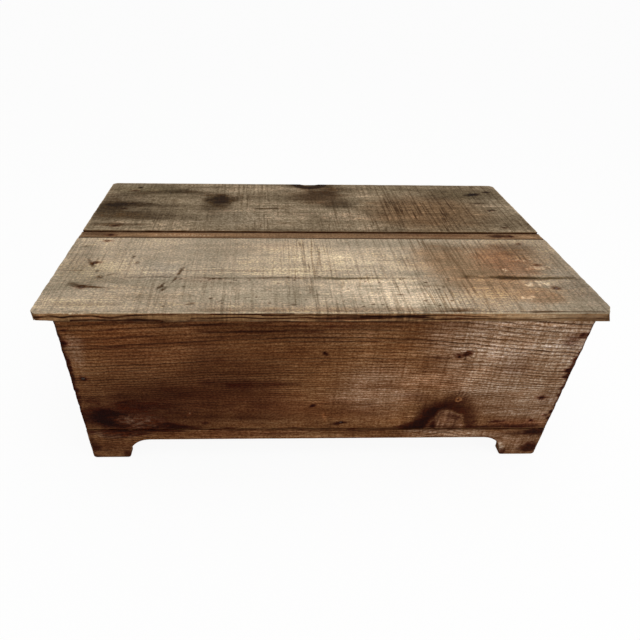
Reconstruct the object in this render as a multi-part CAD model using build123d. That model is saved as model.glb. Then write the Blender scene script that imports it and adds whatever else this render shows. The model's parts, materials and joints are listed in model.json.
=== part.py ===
from build123d import *
from math import atan2, degrees
import os

os.makedirs("parts", exist_ok=True)

# An antique blanket chest, nailed together from wide sawn boards. The case stands on bracket feet
# and the lid of two boards and a narrow strip turns on two iron butt hinges at the back.
# It stands on z = 0 with its front towards -Y. The origin is on the ground under the lid's middle.
# All sizes are in millimetres.

# Overall sizes, set by the lid, which is the widest part
lid_length = 1080.0
lid_depth = 640.0
chest_height = 424.0
lid_thickness = 19.0

# How far the lid reaches past the case on each side: it has shifted to the left with age
overhang_left = 29.5
overhang_right = 15.3
overhang_front = 22.0
overhang_back = 20.0

# The lid's boards, from the front edge to the back edge
lid_front_board_width = 301.0
strip_front_gap = 1.8
strip_width = 30.5
strip_back_gap = 3.5
strip_recess = 1.5
lid_edge_bevel = 2.0
clipped_corner_length = 14.0
clipped_corner_depth = 29.0
front_corner_radius = 18.0
back_corner_radius = 13.0
knot_notch_width = 50.0
knot_notch_depth = 5.0
knot_notch_from_middle = 11.0

# Battens that hold the lid's boards together, just inside the case
batten_width = 36.0
batten_thickness = 20.0
batten_inset_left = 70.5
batten_inset_right = 73.0
batten_end_clearance = 9.0
batten_bevel = 4.0

# Case boards. The seam above the base boards falls a little from left to right
board_thickness = 20.0
base_height_left = 94.0
base_height_right = 88.0
seam = 0.8
case_edge_bevel = 1.5

# Bracket feet, cut out of the base boards
foot_width = 86.5
end_foot_width = 68.0
apron_rise = 60.0
bracket_radius = 50.0
toe_radius = 8.0
bracket_straight = 1.0

# Corner posts inside the case, which stop below the lid's battens
post_size = 40.0
post_bevel = 6.0
post_top_clearance = 5.0

# Floor boards on cleats that also bridge the seam
cleat_rise = 10.0
cleat_height = 34.0
cleat_thickness = 20.0
floor_thickness = 18.0
floor_board_count = 3
floor_gap = 1.0
floor_clearance = 0.5

# Butt hinges, let into the back board's top edge and the lid's underside
hinge_length = 76.0
hinge_inset = 190.0
leaf_width = 20.0
leaf_thickness = 2.0
let_in_clearance = 0.2
hinge_axis_behind = 5.0
barrel_radius = 4.0
barrel_clearance = 1.0
knuckle_count = 5
knuckle_gap = 0.3
pin_radius = 2.0
pin_clearance = 0.05
pin_head_radius = 3.0
pin_head_length = 1.5
lid_gap = 0.3

# Hinge screws. Their heads and shanks have twelve sides, which is round enough at this size
screw_count = 3
screw_spacing = 27.0
screw_head_radius = 3.6
screw_head_depth = 1.8
screw_radius = 1.9
screw_tip_radius = 0.4
screw_sides = 12
screw_taper_length = 6.0
case_screw_length = 22.0
lid_screw_length = 14.0

# Wrought nails: a square head driven in flush, and a shank that tapers
nail_head_size = 8.0
nail_head_depth = 2.5
nail_shank_size = 4.4
nail_tip_size = 1.6
case_nail_length = 55.0
post_nail_length = 50.0
lid_nail_length = 35.0
cleat_nail_length = 33.0
floor_nail_length = 40.0

# Nails in the front and back. Each one gives the piece that it is driven into, how far it lies
# across that piece from its outer side, and how high it lies up the board it is driven through
front_left_nails = (
    ("end", 0.775, 0.886),
    ("end", 0.325, 0.787),
    ("post", 0.13, 0.485),
    ("post", 0.69, 0.194),
)
front_right_nails = (
    ("end", 0.735, 0.845),
    ("end", 0.585, 0.555),
    ("end", 0.635, 0.497),
    ("end", 0.685, 0.135),
    ("post", 0.52, 0.310),
    ("post", 0.57, 0.085),
)
back_nails_each_side = (
    ("end", 0.5, 0.86),
    ("end", 0.5, 0.60),
    ("end", 0.5, 0.34),
    ("end", 0.5, 0.12),
    ("post", 0.5, 0.74),
    ("post", 0.5, 0.22),
)
# One nail through the front into the floor's edge shows; the row repeats at this spacing
floor_edge_nail_from_middle = 54.0
floor_edge_nail_spacing = 300.0
end_nail_heights = (0.05, 0.39, 0.69)
foot_nail_height = 24.0
end_foot_nail_height = 44.0
front_board_nails_left = (0.296, 0.615, 0.945)
front_board_nails_right = (0.296, 0.601, 0.924)
rear_board_nails_left = (0.085, 0.415, 0.812)
rear_board_nails_right = (0.085, 0.413, 0.766)
floor_nail_places = (0.3, 0.7)
cleat_nail_count = 4
end_cleat_nail_count = 2

# How near two places count as one, and how far a cut runs out past the wood
same_place = 0.01
cut_past = 1.0

# Places worked out from the sizes
lid_left = -lid_length / 2
lid_right = lid_length / 2
lid_front = -lid_depth / 2
lid_back = lid_depth / 2
lid_bottom = chest_height - lid_thickness
case_left = lid_left + overhang_left
case_right = lid_right - overhang_right
case_front = lid_front + overhang_front
case_back = lid_back - overhang_back
case_top = lid_bottom - lid_gap
inner_left = case_left + board_thickness
inner_right = case_right - board_thickness
inner_front = case_front + board_thickness
inner_back = case_back - board_thickness
batten_bottom = lid_bottom - batten_thickness
post_top = batten_bottom - post_top_clearance
cleat_bottom = apron_rise + cleat_rise
floor_bottom = cleat_bottom + cleat_height
floor_top = floor_bottom + floor_thickness
hinge_y = case_back + hinge_axis_behind
hinge_z = lid_bottom - lid_gap / 2
hinge_places = {"left": case_left + hinge_inset, "right": case_right - hinge_inset}

pieces = {}


def block(x0, x1, y0, y1, z0, z1):
    """A square-edged piece of wood between two opposite corners."""
    return Pos((x0 + x1) / 2, (y0 + y1) / 2, (z0 + z1) / 2) * Box(x1 - x0, y1 - y0, z1 - z0)


def rod(radius, x0, x1):
    """A round rod along X, centred on the X axis."""
    return Pos((x0 + x1) / 2, 0, 0) * Rot(0, 90, 0) * Cylinder(radius, x1 - x0)


def tapered(profile, start, depth, inset):
    """A profile that narrows as it goes down from a height, by an inset on every side."""
    return extrude(Pos(0, 0, start) * profile, amount=-depth, taper=degrees(atan2(inset, depth)))


def nail(length):
    """A wrought nail that points down, with the top of its head at the origin."""
    head = Rectangle(nail_head_size, nail_head_size)
    shank = Rectangle(nail_shank_size, nail_shank_size)
    head_inset = (nail_head_size - nail_shank_size) / 2
    tip_inset = (nail_shank_size - nail_tip_size) / 2
    driven_head = tapered(head, 0, nail_head_depth, head_inset)
    return driven_head + tapered(shank, -nail_head_depth, length - nail_head_depth, tip_inset)


def screw(length):
    """A countersunk screw that points down, with the top of its head at the origin."""
    head = RegularPolygon(screw_head_radius, screw_sides, major_radius=False)
    shank = RegularPolygon(screw_radius, screw_sides, major_radius=False)
    straight = length - screw_head_depth - screw_taper_length
    sunk_head = tapered(head, 0, screw_head_depth, screw_head_radius - screw_radius)
    body = extrude(Pos(0, 0, -screw_head_depth) * shank, amount=-straight)
    tip = tapered(shank, screw_taper_length - length, screw_taper_length, screw_radius - screw_tip_radius)
    return sunk_head + body + tip


# Turns that point a nail or screw the way it is driven
into_back = Rot(90, 0, 0)
into_front = Rot(-90, 0, 0)
into_right = Rot(0, -90, 0)
into_left = Rot(0, 90, 0)
upwards = Rot(180, 0, 0)


def seam_height(x):
    """Top of the base boards at a place along the chest."""
    share = (x - case_left) / (case_right - case_left)
    return base_height_left + share * (base_height_right - base_height_left)


def nail_height(x, share):
    """Height of a nail at a share of the upper board, from the seam to the case's top."""
    bottom = seam_height(x) + seam
    return bottom + share * (case_top - bottom)


def corner_nail_place(side, member, across, share):
    """Where a nail in the front or back enters, at the left (-1) or right (1) end of the case."""
    if member == "end":
        inboard = across * board_thickness
    else:
        inboard = board_thickness + across * post_size
    x = case_left + inboard if side < 0 else case_right - inboard
    return x, nail_height(x, share)


def make_front_nails():
    """Nails through the front into the ends' edges, the corner posts and the floor's edge."""
    one = nail(case_nail_length)
    places = [corner_nail_place(-1, *row) for row in front_left_nails]
    places += [corner_nail_place(1, *row) for row in front_right_nails]
    for step in (-1, 0, 1):
        x = floor_edge_nail_from_middle + step * floor_edge_nail_spacing
        places.append((x, floor_bottom + floor_thickness / 2))
    return Part() + [Pos(x, case_front, z) * into_back * one for x, z in places]


def make_back_nails():
    """Nails through the back into the ends' edges and the corner posts."""
    one = nail(case_nail_length)
    places = [corner_nail_place(side, *row) for side in (-1, 1) for row in back_nails_each_side]
    return Part() + [Pos(x, case_back, z) * into_front * one for x, z in places]


def make_end_nails():
    """Nails through the ends into the corner posts, with one in each foot."""
    one = nail(post_nail_length)
    found = []
    for x, turn in ((case_left, into_right), (case_right, into_left)):
        heights = [nail_height(x, share) for share in end_nail_heights] + [end_foot_nail_height]
        for y in (inner_front + post_size / 2, inner_back - post_size / 2):
            found += [Pos(x, y, z) * turn * one for z in heights]
    return Part() + found


def make_foot_nails():
    """Nails from behind, through the posts into the front and back feet, where none shows."""
    one = nail(post_nail_length)
    found = []
    for x in (inner_left + post_size / 2, inner_right - post_size / 2):
        found.append(Pos(x, inner_front + post_size, foot_nail_height) * into_front * one)
        found.append(Pos(x, inner_back - post_size, foot_nail_height) * into_back * one)
    return Part() + found


def spread(start, end, count):
    """Evenly spread places, with half a step left over at each end."""
    step = (end - start) / count
    return [start + step * (index + 0.5) for index in range(count)]


def make_cleat_nails():
    """Two rows through each cleat: one above the seam into the board, one below into the base."""
    one = nail(cleat_nail_length)
    found = []
    for x in spread(inner_left + post_size, inner_right - post_size, cleat_nail_count):
        low = (cleat_bottom + seam_height(x)) / 2
        high = (floor_bottom + seam_height(x) + seam) / 2
        for z in (low, high):
            found.append(Pos(x, inner_front + cleat_thickness, z) * into_front * one)
            found.append(Pos(x, inner_back - cleat_thickness, z) * into_back * one)
    for y in spread(inner_front + post_size, inner_back - post_size, end_cleat_nail_count):
        for x, wall, turn in (
            (inner_left + cleat_thickness, case_left, into_left),
            (inner_right - cleat_thickness, case_right, into_right),
        ):
            low = (cleat_bottom + seam_height(wall)) / 2
            high = (floor_bottom + seam_height(wall) + seam) / 2
            found += [Pos(x, y, z) * turn * one for z in (low, high)]
    return Part() + found


def floor_board_span(index):
    """Front and back side of one floor board."""
    room = inner_back - inner_front - 2 * floor_clearance - (floor_board_count - 1) * floor_gap
    width = room / floor_board_count
    start = inner_front + floor_clearance + index * (width + floor_gap)
    return start, start + width


def make_floor_nails():
    """Nails down through the floor boards into the cleats at the two ends."""
    one = nail(floor_nail_length)
    found = []
    for index in range(floor_board_count):
        front, back = floor_board_span(index)
        for share in floor_nail_places:
            y = front + share * (back - front)
            for x in (inner_left + cleat_thickness / 2, inner_right - cleat_thickness / 2):
                found.append(Pos(x, y, floor_top) * one)
    return Part() + found


def on_ground(outline):
    """The corners of a base board's outline that stand on the ground."""
    return [corner for corner in outline.vertices() if abs(corner.Y) < same_place]


def base_outline(start, end, start_height, end_height, foot, corner_radius):
    """A base board seen from its face: the opening below leaves a foot at each end."""
    whole = make_face(Polyline((start, 0), (end, 0), (end, end_height), (start, start_height), close=True))
    opening = Pos((start + end) / 2, 0) * Rectangle(end - start - 2 * foot, 2 * apron_rise)
    if corner_radius > 0:
        opening = fillet(opening.vertices(), min(corner_radius, apron_rise - toe_radius - bracket_straight))
    inner_toes = [toe for toe in on_ground(whole - opening) if start + same_place < toe.X < end - same_place]
    return fillet(inner_toes, toe_radius)


def upper_outline(start, end, start_height, end_height):
    """A board above the seam, seen from its face."""
    corners = ((start, start_height + seam), (end, end_height + seam), (end, case_top), (start, case_top))
    return make_face(Polyline(*corners, close=True))


def along_x(outline, y0):
    """A board whose face lies in XZ, from y0 backwards."""
    return Pos(0, y0, 0) * extrude(Plane.XZ * outline, amount=board_thickness, dir=(0, 1, 0))


def along_y(outline, x0):
    """A board whose face lies in YZ, from x0 to the right."""
    return Pos(x0, 0, 0) * extrude(Plane.YZ * outline, amount=board_thickness, dir=(1, 0, 0))


def round_corners(part, y):
    """Wears the two upright outer corners of a front or back board."""
    upright = part.edges().filter_by(Axis.Z)
    outer = [edge for edge in upright if abs(edge.center().Y - y) < same_place]
    corners = []
    for x in (case_left, case_right):
        corners += [edge for edge in outer if abs(edge.center().X - x) < same_place]
    return chamfer(corners, case_edge_bevel)


def make_front_and_back():
    """The two long sides: a wide board over a base board with the feet. They cover the ends."""
    seams = (base_height_left, base_height_right)
    base = base_outline(case_left, case_right, *seams, foot_width, bracket_radius)
    outer_toes = [toe for toe in on_ground(base) if min(toe.X - case_left, case_right - toe.X) < same_place]
    front_base = round_corners(along_x(fillet(outer_toes, toe_radius), case_front), case_front)
    front = round_corners(along_x(upper_outline(case_left, case_right, *seams), case_front), case_front)
    plain_base = base_outline(case_left, case_right, *seams, foot_width, 0)
    back_base = round_corners(along_x(plain_base, inner_back), case_back)
    back = round_corners(along_x(upper_outline(case_left, case_right, *seams), inner_back), case_back)
    pieces["front_board"] = front - front_nails - cleat_nails
    pieces["front_base_board"] = front_base - foot_nails - cleat_nails
    pieces["back_board"] = back - back_nails - cleat_nails
    pieces["back_base_board"] = back_base - foot_nails - cleat_nails


def make_ends():
    """The two short sides, which fit between the front and the back."""
    for side, x0, height in (
        ("left", case_left, base_height_left),
        ("right", inner_right, base_height_right),
    ):
        base = base_outline(inner_front, inner_back, height, height, end_foot_width, bracket_radius)
        upper = upper_outline(inner_front, inner_back, height, height)
        driven = (end_nails, cleat_nails, front_nails, back_nails)
        pieces[side + "_end_base_board"] = along_y(base, x0) - end_nails - cleat_nails
        end = along_y(upper, x0)
        for group in driven:
            end = end - group
        pieces[side + "_end_board"] = end


def make_posts():
    """Square posts that stand in the four corners and reach down behind the feet."""
    middle_x = (inner_left + inner_right) / 2
    middle_y = (inner_front + inner_back) / 2
    for row, y0 in (("front", inner_front), ("back", inner_back - post_size)):
        for side, x0 in (("left", inner_left), ("right", inner_right - post_size)):
            post = block(x0, x0 + post_size, y0, y0 + post_size, 0, post_top)
            upright = post.edges().filter_by(Axis.Z)
            inward = upright.sort_by(lambda e: abs(e.center().X - middle_x) + abs(e.center().Y - middle_y))[0]
            post = chamfer(inward, post_bevel)
            for group in (front_nails, back_nails, end_nails, foot_nails):
                post = post - group
            pieces[row + "_" + side + "_post"] = post


def make_cleats():
    """Cleats along the four walls, between the posts, which carry the floor."""
    for row, y0, group in (
        ("front", inner_front, front_nails),
        ("back", inner_back - cleat_thickness, back_nails),
    ):
        long_cleat = block(
            inner_left + post_size,
            inner_right - post_size,
            y0,
            y0 + cleat_thickness,
            cleat_bottom,
            floor_bottom,
        )
        pieces[row + "_floor_cleat"] = long_cleat - cleat_nails - group
    for side, x0 in (("left", inner_left), ("right", inner_right - cleat_thickness)):
        short_cleat = block(
            x0,
            x0 + cleat_thickness,
            inner_front + post_size,
            inner_back - post_size,
            cleat_bottom,
            floor_bottom,
        )
        pieces[side + "_floor_cleat"] = short_cleat - cleat_nails - floor_nails


def make_floor():
    """Floor boards along the chest; the outer two are notched round the posts."""
    reach = post_size + floor_clearance
    notches = Part() + [
        block(x0, x0 + reach, y0, y0 + reach, floor_bottom - cut_past, floor_top + cut_past)
        for x0 in (inner_left, inner_right - reach)
        for y0 in (inner_front, inner_back - reach)
    ]
    for index in range(floor_board_count):
        front, back = floor_board_span(index)
        plank = block(
            inner_left + floor_clearance,
            inner_right - floor_clearance,
            front,
            back,
            floor_bottom,
            floor_top,
        )
        pieces[f"floor_board_{index + 1}"] = plank - notches - floor_nails - front_nails


def make_hinges():
    """Butt hinges. The leaves' knuckles take turns along one barrel, and a pin runs through."""
    step = hinge_length / knuckle_count
    half_gap = knuckle_gap / 2
    starts = [-hinge_length / 2 + step * index for index in range(knuckle_count)]
    bore = rod(pin_radius + pin_clearance, -hinge_length, hinge_length)
    head_reach = hinge_length / 2 + knuckle_gap
    pin = rod(pin_radius, -head_reach, head_reach)
    for start in (-head_reach - pin_head_length, head_reach):
        pin += rod(pin_head_radius, start, start + pin_head_length)
    for body, turn, low, first, screws in (
        ("case", 0, -lid_gap / 2 - leaf_thickness, 0, case_screws),
        ("lid", 1, lid_gap / 2, 1, lid_screws),
    ):
        plate = block(-hinge_length / 2, hinge_length / 2, -leaf_width, 0, low, low + leaf_thickness)
        for start in starts[1 - first :: 2]:
            plate -= rod(barrel_radius + knuckle_gap, start - half_gap, start + step + half_gap)
        for start in starts[first::2]:
            plate += rod(barrel_radius, start + half_gap, start + step - half_gap)
        plate -= bore
        for side, x in hinge_places.items():
            pieces[f"{side}_hinge_{body}_leaf"] = Pos(x, hinge_y, hinge_z) * plate - screws
    for side, x in hinge_places.items():
        pieces[f"{side}_hinge_pin"] = Pos(x, hinge_y, hinge_z) * pin


def make_hinge_screws(length, z, turn):
    """A row of screws through each leaf, over the middle of the wood that it is let into."""
    one = screw(length)
    y = case_back - (leaf_width - hinge_axis_behind) / 2
    found = []
    for x in hinge_places.values():
        for index in range(screw_count):
            offset = (index - (screw_count - 1) / 2) * screw_spacing
            found.append(Pos(x + offset, y, z) * turn * one)
    return Part() + found


def hinge_recesses(low, high, back):
    """The shallow beds that the leaves are let into, between two heights and forward of a line."""
    reach = hinge_length / 2 + let_in_clearance
    front = hinge_y - leaf_width - let_in_clearance
    return Part() + [block(x - reach, x + reach, front, back, low, high) for x in hinge_places.values()]


def barrel_pockets():
    """Room for the barrels and the pins' heads, hollowed round the hinge axis."""
    reach = hinge_length / 2 + knuckle_gap + pin_head_length + barrel_clearance
    return Part() + [
        Pos(x, hinge_y, hinge_z) * rod(barrel_radius + barrel_clearance, -reach, reach)
        for x in hinge_places.values()
    ]


def lid_board_spans():
    """Front and back side of the front board, the strip and the rear board."""
    front_board = (lid_front, lid_front + lid_front_board_width)
    strip_front = front_board[1] + strip_front_gap
    strip = (strip_front, strip_front + strip_width)
    return front_board, strip, (strip[1] + strip_back_gap, lid_back)


def make_lid_nails():
    """Nails down through the lid's boards and strip into the battens."""
    one = nail(lid_nail_length)
    front_board, strip, rear_board = lid_board_spans()
    found = []
    for x, front_shares, rear_shares in (
        (lid_left + batten_inset_left, front_board_nails_left, rear_board_nails_left),
        (lid_right - batten_inset_right, front_board_nails_right, rear_board_nails_right),
    ):
        for (front, back), shares in ((front_board, front_shares), (rear_board, rear_shares)):
            found += [Pos(x, front + share * (back - front), chest_height) * one for share in shares]
        found.append(Pos(x, (strip[0] + strip[1]) / 2, chest_height - strip_recess) * one)
    return Part() + found


def wear_outer_edges(part, inner_y):
    """Bevels the lid board's long and short edges, but not those that meet the strip."""
    level = [edge for edge in part.edges() if edge.bounding_box().size.Z < same_place]
    outer = [edge for edge in level if abs(edge.center().Y - inner_y) > same_place]
    return chamfer(outer, lid_edge_bevel)


def make_lid():
    """Two wide boards, a narrow strip between them and two battens underneath."""
    (front, front_joint), strip, (rear_joint, rear) = lid_board_spans()
    outline = make_face(
        Polyline(
            (lid_left, front),
            (lid_right - clipped_corner_length, front),
            (lid_right, front + clipped_corner_depth),
            (lid_right, front_joint),
            (lid_left, front_joint),
            close=True,
        )
    )
    front_left = outline.vertices().sort_by(lambda v: v.X + v.Y)[0]
    outline = fillet(front_left, front_corner_radius)
    front_board = extrude(Pos(0, 0, lid_bottom) * outline, amount=lid_thickness)
    pieces["lid_front_board"] = wear_outer_edges(front_board, front_joint) - lid_nails

    rear_board = block(lid_left, lid_right, rear_joint, rear, lid_bottom, chest_height)
    back_corners = rear_board.edges().filter_by(Axis.Z).sort_by(Axis.Y)[-2:]
    rear_board = wear_outer_edges(fillet(back_corners, back_corner_radius), rear_joint)
    notch_radius = (knot_notch_width**2 / 4 + knot_notch_depth**2) / (2 * knot_notch_depth)
    notch = Pos(knot_notch_from_middle, rear - knot_notch_depth + notch_radius, 0)
    notch = notch * Pos(0, 0, chest_height / 2) * Cylinder(notch_radius, 2 * chest_height)
    beds = hinge_recesses(hinge_z, lid_bottom + leaf_thickness, hinge_y)
    pieces["lid_rear_board"] = rear_board - notch - beds - barrel_pockets() - lid_nails - lid_screws

    lath = block(lid_left, lid_right, *strip, lid_bottom, chest_height - strip_recess)
    pieces["lid_strip"] = lath - lid_nails

    for side, x in (
        ("left", lid_left + batten_inset_left),
        ("right", lid_right - batten_inset_right),
    ):
        batten = block(
            x - batten_width / 2,
            x + batten_width / 2,
            inner_front + batten_end_clearance,
            inner_back - batten_end_clearance,
            batten_bottom,
            lid_bottom,
        )
        lower_edges = batten.faces().sort_by(Axis.Z)[0].edges()
        pieces[side + "_lid_batten"] = chamfer(lower_edges, batten_bevel) - lid_nails


front_nails = make_front_nails()
back_nails = make_back_nails()
end_nails = make_end_nails()
foot_nails = make_foot_nails()
cleat_nails = make_cleat_nails()
floor_nails = make_floor_nails()
lid_nails = make_lid_nails()
case_screws = make_hinge_screws(case_screw_length, hinge_z - lid_gap / 2, Rot(0, 0, 0))
lid_screws = make_hinge_screws(lid_screw_length, hinge_z + lid_gap / 2, upwards)

make_front_and_back()
make_ends()
make_posts()
make_cleats()
make_floor()
make_hinges()
make_lid()
back_beds = hinge_recesses(case_top - leaf_thickness, case_top + cut_past, case_back + cut_past)
pieces["back_board"] = pieces["back_board"] - back_beds - case_screws
pieces["front_nails"] = front_nails
pieces["back_nails"] = back_nails
pieces["end_nails"] = end_nails
pieces["foot_nails"] = foot_nails
pieces["cleat_nails"] = cleat_nails
pieces["floor_nails"] = floor_nails
pieces["lid_nails"] = lid_nails
pieces["case_leaf_screws"] = case_screws
pieces["lid_leaf_screws"] = lid_screws

for name, piece in pieces.items():
    export_step(piece, f"parts/{name}.step")
print(len(pieces), "pieces written; hinge axis at y", hinge_y, "z", hinge_z)
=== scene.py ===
# %% [markdown]
# # An antique blanket chest, dressed for its photograph
# The chest is a nailed box of wide sawn boards on bracket feet, with a lid of two boards and a narrow strip.
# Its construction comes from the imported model, so each board here takes its place and size from there.
# What this script adds is the wood itself: saw marks, grain, knots, stains, worn edges, nails and old iron.

# %% Load the frame
import json
import math
from functools import partial

import bpy
import numpy as np
from mathutils import Matrix, Vector


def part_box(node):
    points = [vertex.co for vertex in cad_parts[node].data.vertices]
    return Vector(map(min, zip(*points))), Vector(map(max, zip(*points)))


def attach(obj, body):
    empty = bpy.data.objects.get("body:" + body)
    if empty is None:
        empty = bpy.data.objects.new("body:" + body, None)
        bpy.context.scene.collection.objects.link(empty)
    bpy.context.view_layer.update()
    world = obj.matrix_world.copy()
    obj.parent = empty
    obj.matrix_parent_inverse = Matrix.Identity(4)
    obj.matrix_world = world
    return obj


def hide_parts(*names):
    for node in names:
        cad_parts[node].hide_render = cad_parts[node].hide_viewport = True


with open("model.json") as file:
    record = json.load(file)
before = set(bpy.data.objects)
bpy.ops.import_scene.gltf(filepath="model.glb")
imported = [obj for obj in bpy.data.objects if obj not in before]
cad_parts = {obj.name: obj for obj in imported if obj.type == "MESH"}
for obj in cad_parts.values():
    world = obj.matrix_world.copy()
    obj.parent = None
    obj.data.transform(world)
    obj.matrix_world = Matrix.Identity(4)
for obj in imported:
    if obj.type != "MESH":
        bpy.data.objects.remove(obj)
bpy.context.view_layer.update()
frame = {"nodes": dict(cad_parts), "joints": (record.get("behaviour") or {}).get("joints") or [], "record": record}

MM = 0.001

# %% [markdown]
# ## The camera
# The photograph was taken from in front, above the left half of the lid. A camera can be placed by eye, but
# here its place was worked out from the lid's corners and the case's outline, so the model lines up with it.
# The picture was cropped off centre: the lens axis meets it left of its middle, and the shift allows for it.

# %% Camera
image_width = 640
lens_axis_x = 280
focal_length_pixels = 504.6
camera_place_mm = Vector((-114.0, -1069.8, 952.3))
yaw, pitch, roll = (math.radians(angle) for angle in (2.10, 35.88, 1.22))

ahead = Vector((math.sin(yaw) * math.cos(pitch), math.cos(yaw) * math.cos(pitch), -math.sin(pitch)))
level_right = Vector((math.cos(yaw), -math.sin(yaw), 0))
level_up = level_right.cross(ahead)
right = level_right * math.cos(roll) + level_up * math.sin(roll)
up = level_up * math.cos(roll) - level_right * math.sin(roll)

lens = bpy.data.cameras.new("photo_lens")
lens.sensor_width = 36
lens.lens = focal_length_pixels / image_width * lens.sensor_width
lens.shift_x = (image_width / 2 - lens_axis_x) / image_width
camera = bpy.data.objects.new("photo_camera", lens)
turn = Matrix((right, up, -ahead)).transposed().to_4x4()
camera.matrix_world = Matrix.Translation(camera_place_mm * MM) @ turn
bpy.context.scene.collection.objects.link(camera)
bpy.context.scene.camera = camera
print("lens in mm:", round(lens.lens, 2))

# %% [markdown]
# ## Small helpers for materials
# Colours are picked as sRGB hex values, as a paint card gives them, and turned to the linear values that the
# renderer works in. One function adds a node, sets its options and connects or fills its inputs.

# %% Colour and node helpers
def linear(hex_colour):
    """An sRGB hex colour as the linear values that a shader needs."""
    channels = [int(hex_colour[i:i + 2], 16) / 255 for i in (1, 3, 5)]
    return [c / 12.92 if c <= 0.04045 else ((c + 0.055) / 1.055) ** 2.4 for c in channels] + [1.0]


def add_node(tree, kind, *values, named=None, stops=(), **settings):
    """Adds a node, sets its options, and fills or links its inputs, in order or by name.

    Only inputs that the options leave in use are counted. A node given as a value stands for its first
    output in use. Stops are for a colour ramp.
    """
    made = tree.nodes.new(kind if "Node" in kind else "ShaderNode" + kind)
    for option, value in settings.items():
        setattr(made, option, value)
    pairs = list(zip([socket for socket in made.inputs if socket.enabled], values))
    pairs += [(made.inputs[key], value) for key, value in (named or {}).items()]
    for socket, value in pairs:
        if isinstance(value, bpy.types.Node):
            value = next(output for output in value.outputs if output.enabled)
        if isinstance(value, bpy.types.NodeSocket):
            tree.links.new(value, socket)
        else:
            socket.default_value = value
    for index, (place, colour) in enumerate(stops):
        ramp = made.color_ramp.elements
        stop = ramp[index] if index < 2 else ramp.new(place)
        stop.position = place
        stop.color = linear(colour)
    return made


def new_material(name):
    """A node material without nodes, and the function that adds nodes to it."""
    material = bpy.data.materials.new(name)
    material.use_nodes = True
    material.node_tree.nodes.clear()
    return material, partial(add_node, material.node_tree)


TIMES = {"operation": "MULTIPLY"}
TIMES_PLUS = {"operation": "MULTIPLY_ADD"}
EASED = {"interpolation_type": "SMOOTHSTEP"}

# %% [markdown]
# ## Floor and light
# The photograph shows the chest alone on white. A pale matt floor under a soft, even sky gives that, with a
# little shadow under the feet. The sky gives most of the light, and two large soft lamps add a little from
# above and from the right, so the lid is the lightest side, as it is in the photograph.

# %% Floor, sky and lamps
floor_size = 60.0
floor_glow = 0.93
sky_light, sky_seen = 0.62, 0.975
bpy.ops.mesh.primitive_plane_add(size=floor_size)
floor = bpy.context.object
floor.name = "studio_floor"
floor_material, node = new_material("pale_matt_floor")
matt = node("BsdfPrincipled", named={"Base Color": linear("#f4f4f3"), "Roughness": 0.9})
white = node("Emission", linear("#ffffff"), 1.0)
seen = node("Math", node("LightPath").outputs["Is Camera Ray"], floor_glow, **TIMES)
node("OutputMaterial", node("MixShader", seen, matt, white))
floor.data.materials.append(floor_material)

sky = bpy.data.worlds.new("soft_white_sky")
sky.use_nodes = True
sky.node_tree.nodes.clear()
node = partial(add_node, sky.node_tree)
rays = node("LightPath").outputs
mirrors = node("Math", rays["Is Camera Ray"], rays["Is Glossy Ray"], operation="MAXIMUM")
strength = node("MapRange", mirrors, 0.0, 1.0, sky_light, sky_seen)
node("OutputWorld", node("Background", linear("#ffffff"), strength))
bpy.context.scene.world = sky


def soft_lamp(name, place, target, size, watts):
    """A large square lamp that looks at a point."""
    lamp = bpy.data.lights.new(name, "AREA")
    lamp.size = size
    lamp.energy = watts
    made = bpy.data.objects.new(name, lamp)
    made.location = place
    made.rotation_euler = (Vector(target) - Vector(place)).to_track_quat("-Z", "Y").to_euler()
    bpy.context.scene.collection.objects.link(made)


soft_lamp("lamp_above", (0.2, -0.3, 2.6), (0, 0, 0.3), 2.2, 27)
soft_lamp("lamp_right", (2.2, -1.9, 1.5), (0, 0, 0.2), 1.6, 14)
bpy.context.scene.view_settings.view_transform = "Standard"

# %% [markdown]
# ## How a board is made
# A real board is a closed block of wood whose faces are never quite flat: the saw left ridges, the arrises
# are worn round, and cracks, dents and hinge beds are cut into it. A cube with a bump map would look flat at
# its edges, and sculpting could not be repeated. So each board is one closed grid of points, worked in its
# own directions: u along the grain, v across it, and depth below the show face. Every mark only takes wood
# away, so a board never outgrows the size that its construction gives it.

# %% Smooth noise and ramps
TABLE_SIZE = 256
noise_table = np.random.default_rng(1860).random((TABLE_SIZE, TABLE_SIZE))


def smooth(value, start, end):
    """Rises smoothly from 0 at start to 1 at end."""
    share = np.clip((value - start) / (end - start), 0, 1)
    return share * share * (3 - 2 * share)


def noise(across, along=0.0, seed=0):
    """Smooth noise from 0 to 1 whose hills are one unit apart."""
    a, b = np.asarray(across, float) + 17.31 * seed, np.asarray(along, float) + 5.73 * seed
    a, b = np.broadcast_arrays(a, b)
    i, j = np.floor(a).astype(int), np.floor(b).astype(int)
    s, t = smooth(a - i, 0, 1), smooth(b - j, 0, 1)
    left, right = i % TABLE_SIZE, (i + 1) % TABLE_SIZE
    rows = j % TABLE_SIZE, (j + 1) % TABLE_SIZE
    near, far = (noise_table[left, row] * (1 - s) + noise_table[right, row] * s for row in rows)
    return near * (1 - t) + far * t


# %% A closed grid of points
ARRIS_SHARES = np.array([0.0, 0.2, 0.5, 1.0])


def grid_lines(start, end, step, arris, extra=()):
    """Places of grid lines: close together along the arrises, and about a step apart elsewhere."""
    fixed = np.concatenate([start + arris * ARRIS_SHARES, end - arris * ARRIS_SHARES, np.array(extra, float)])
    fixed = np.unique(np.round(np.clip(fixed, start, end), 3))
    places = [fixed[:1]]
    for near, far in zip(fixed, fixed[1:]):
        places.append(np.linspace(near, far, max(1, round((far - near) / step)) + 1)[1:])
    return np.concatenate(places)


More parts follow.
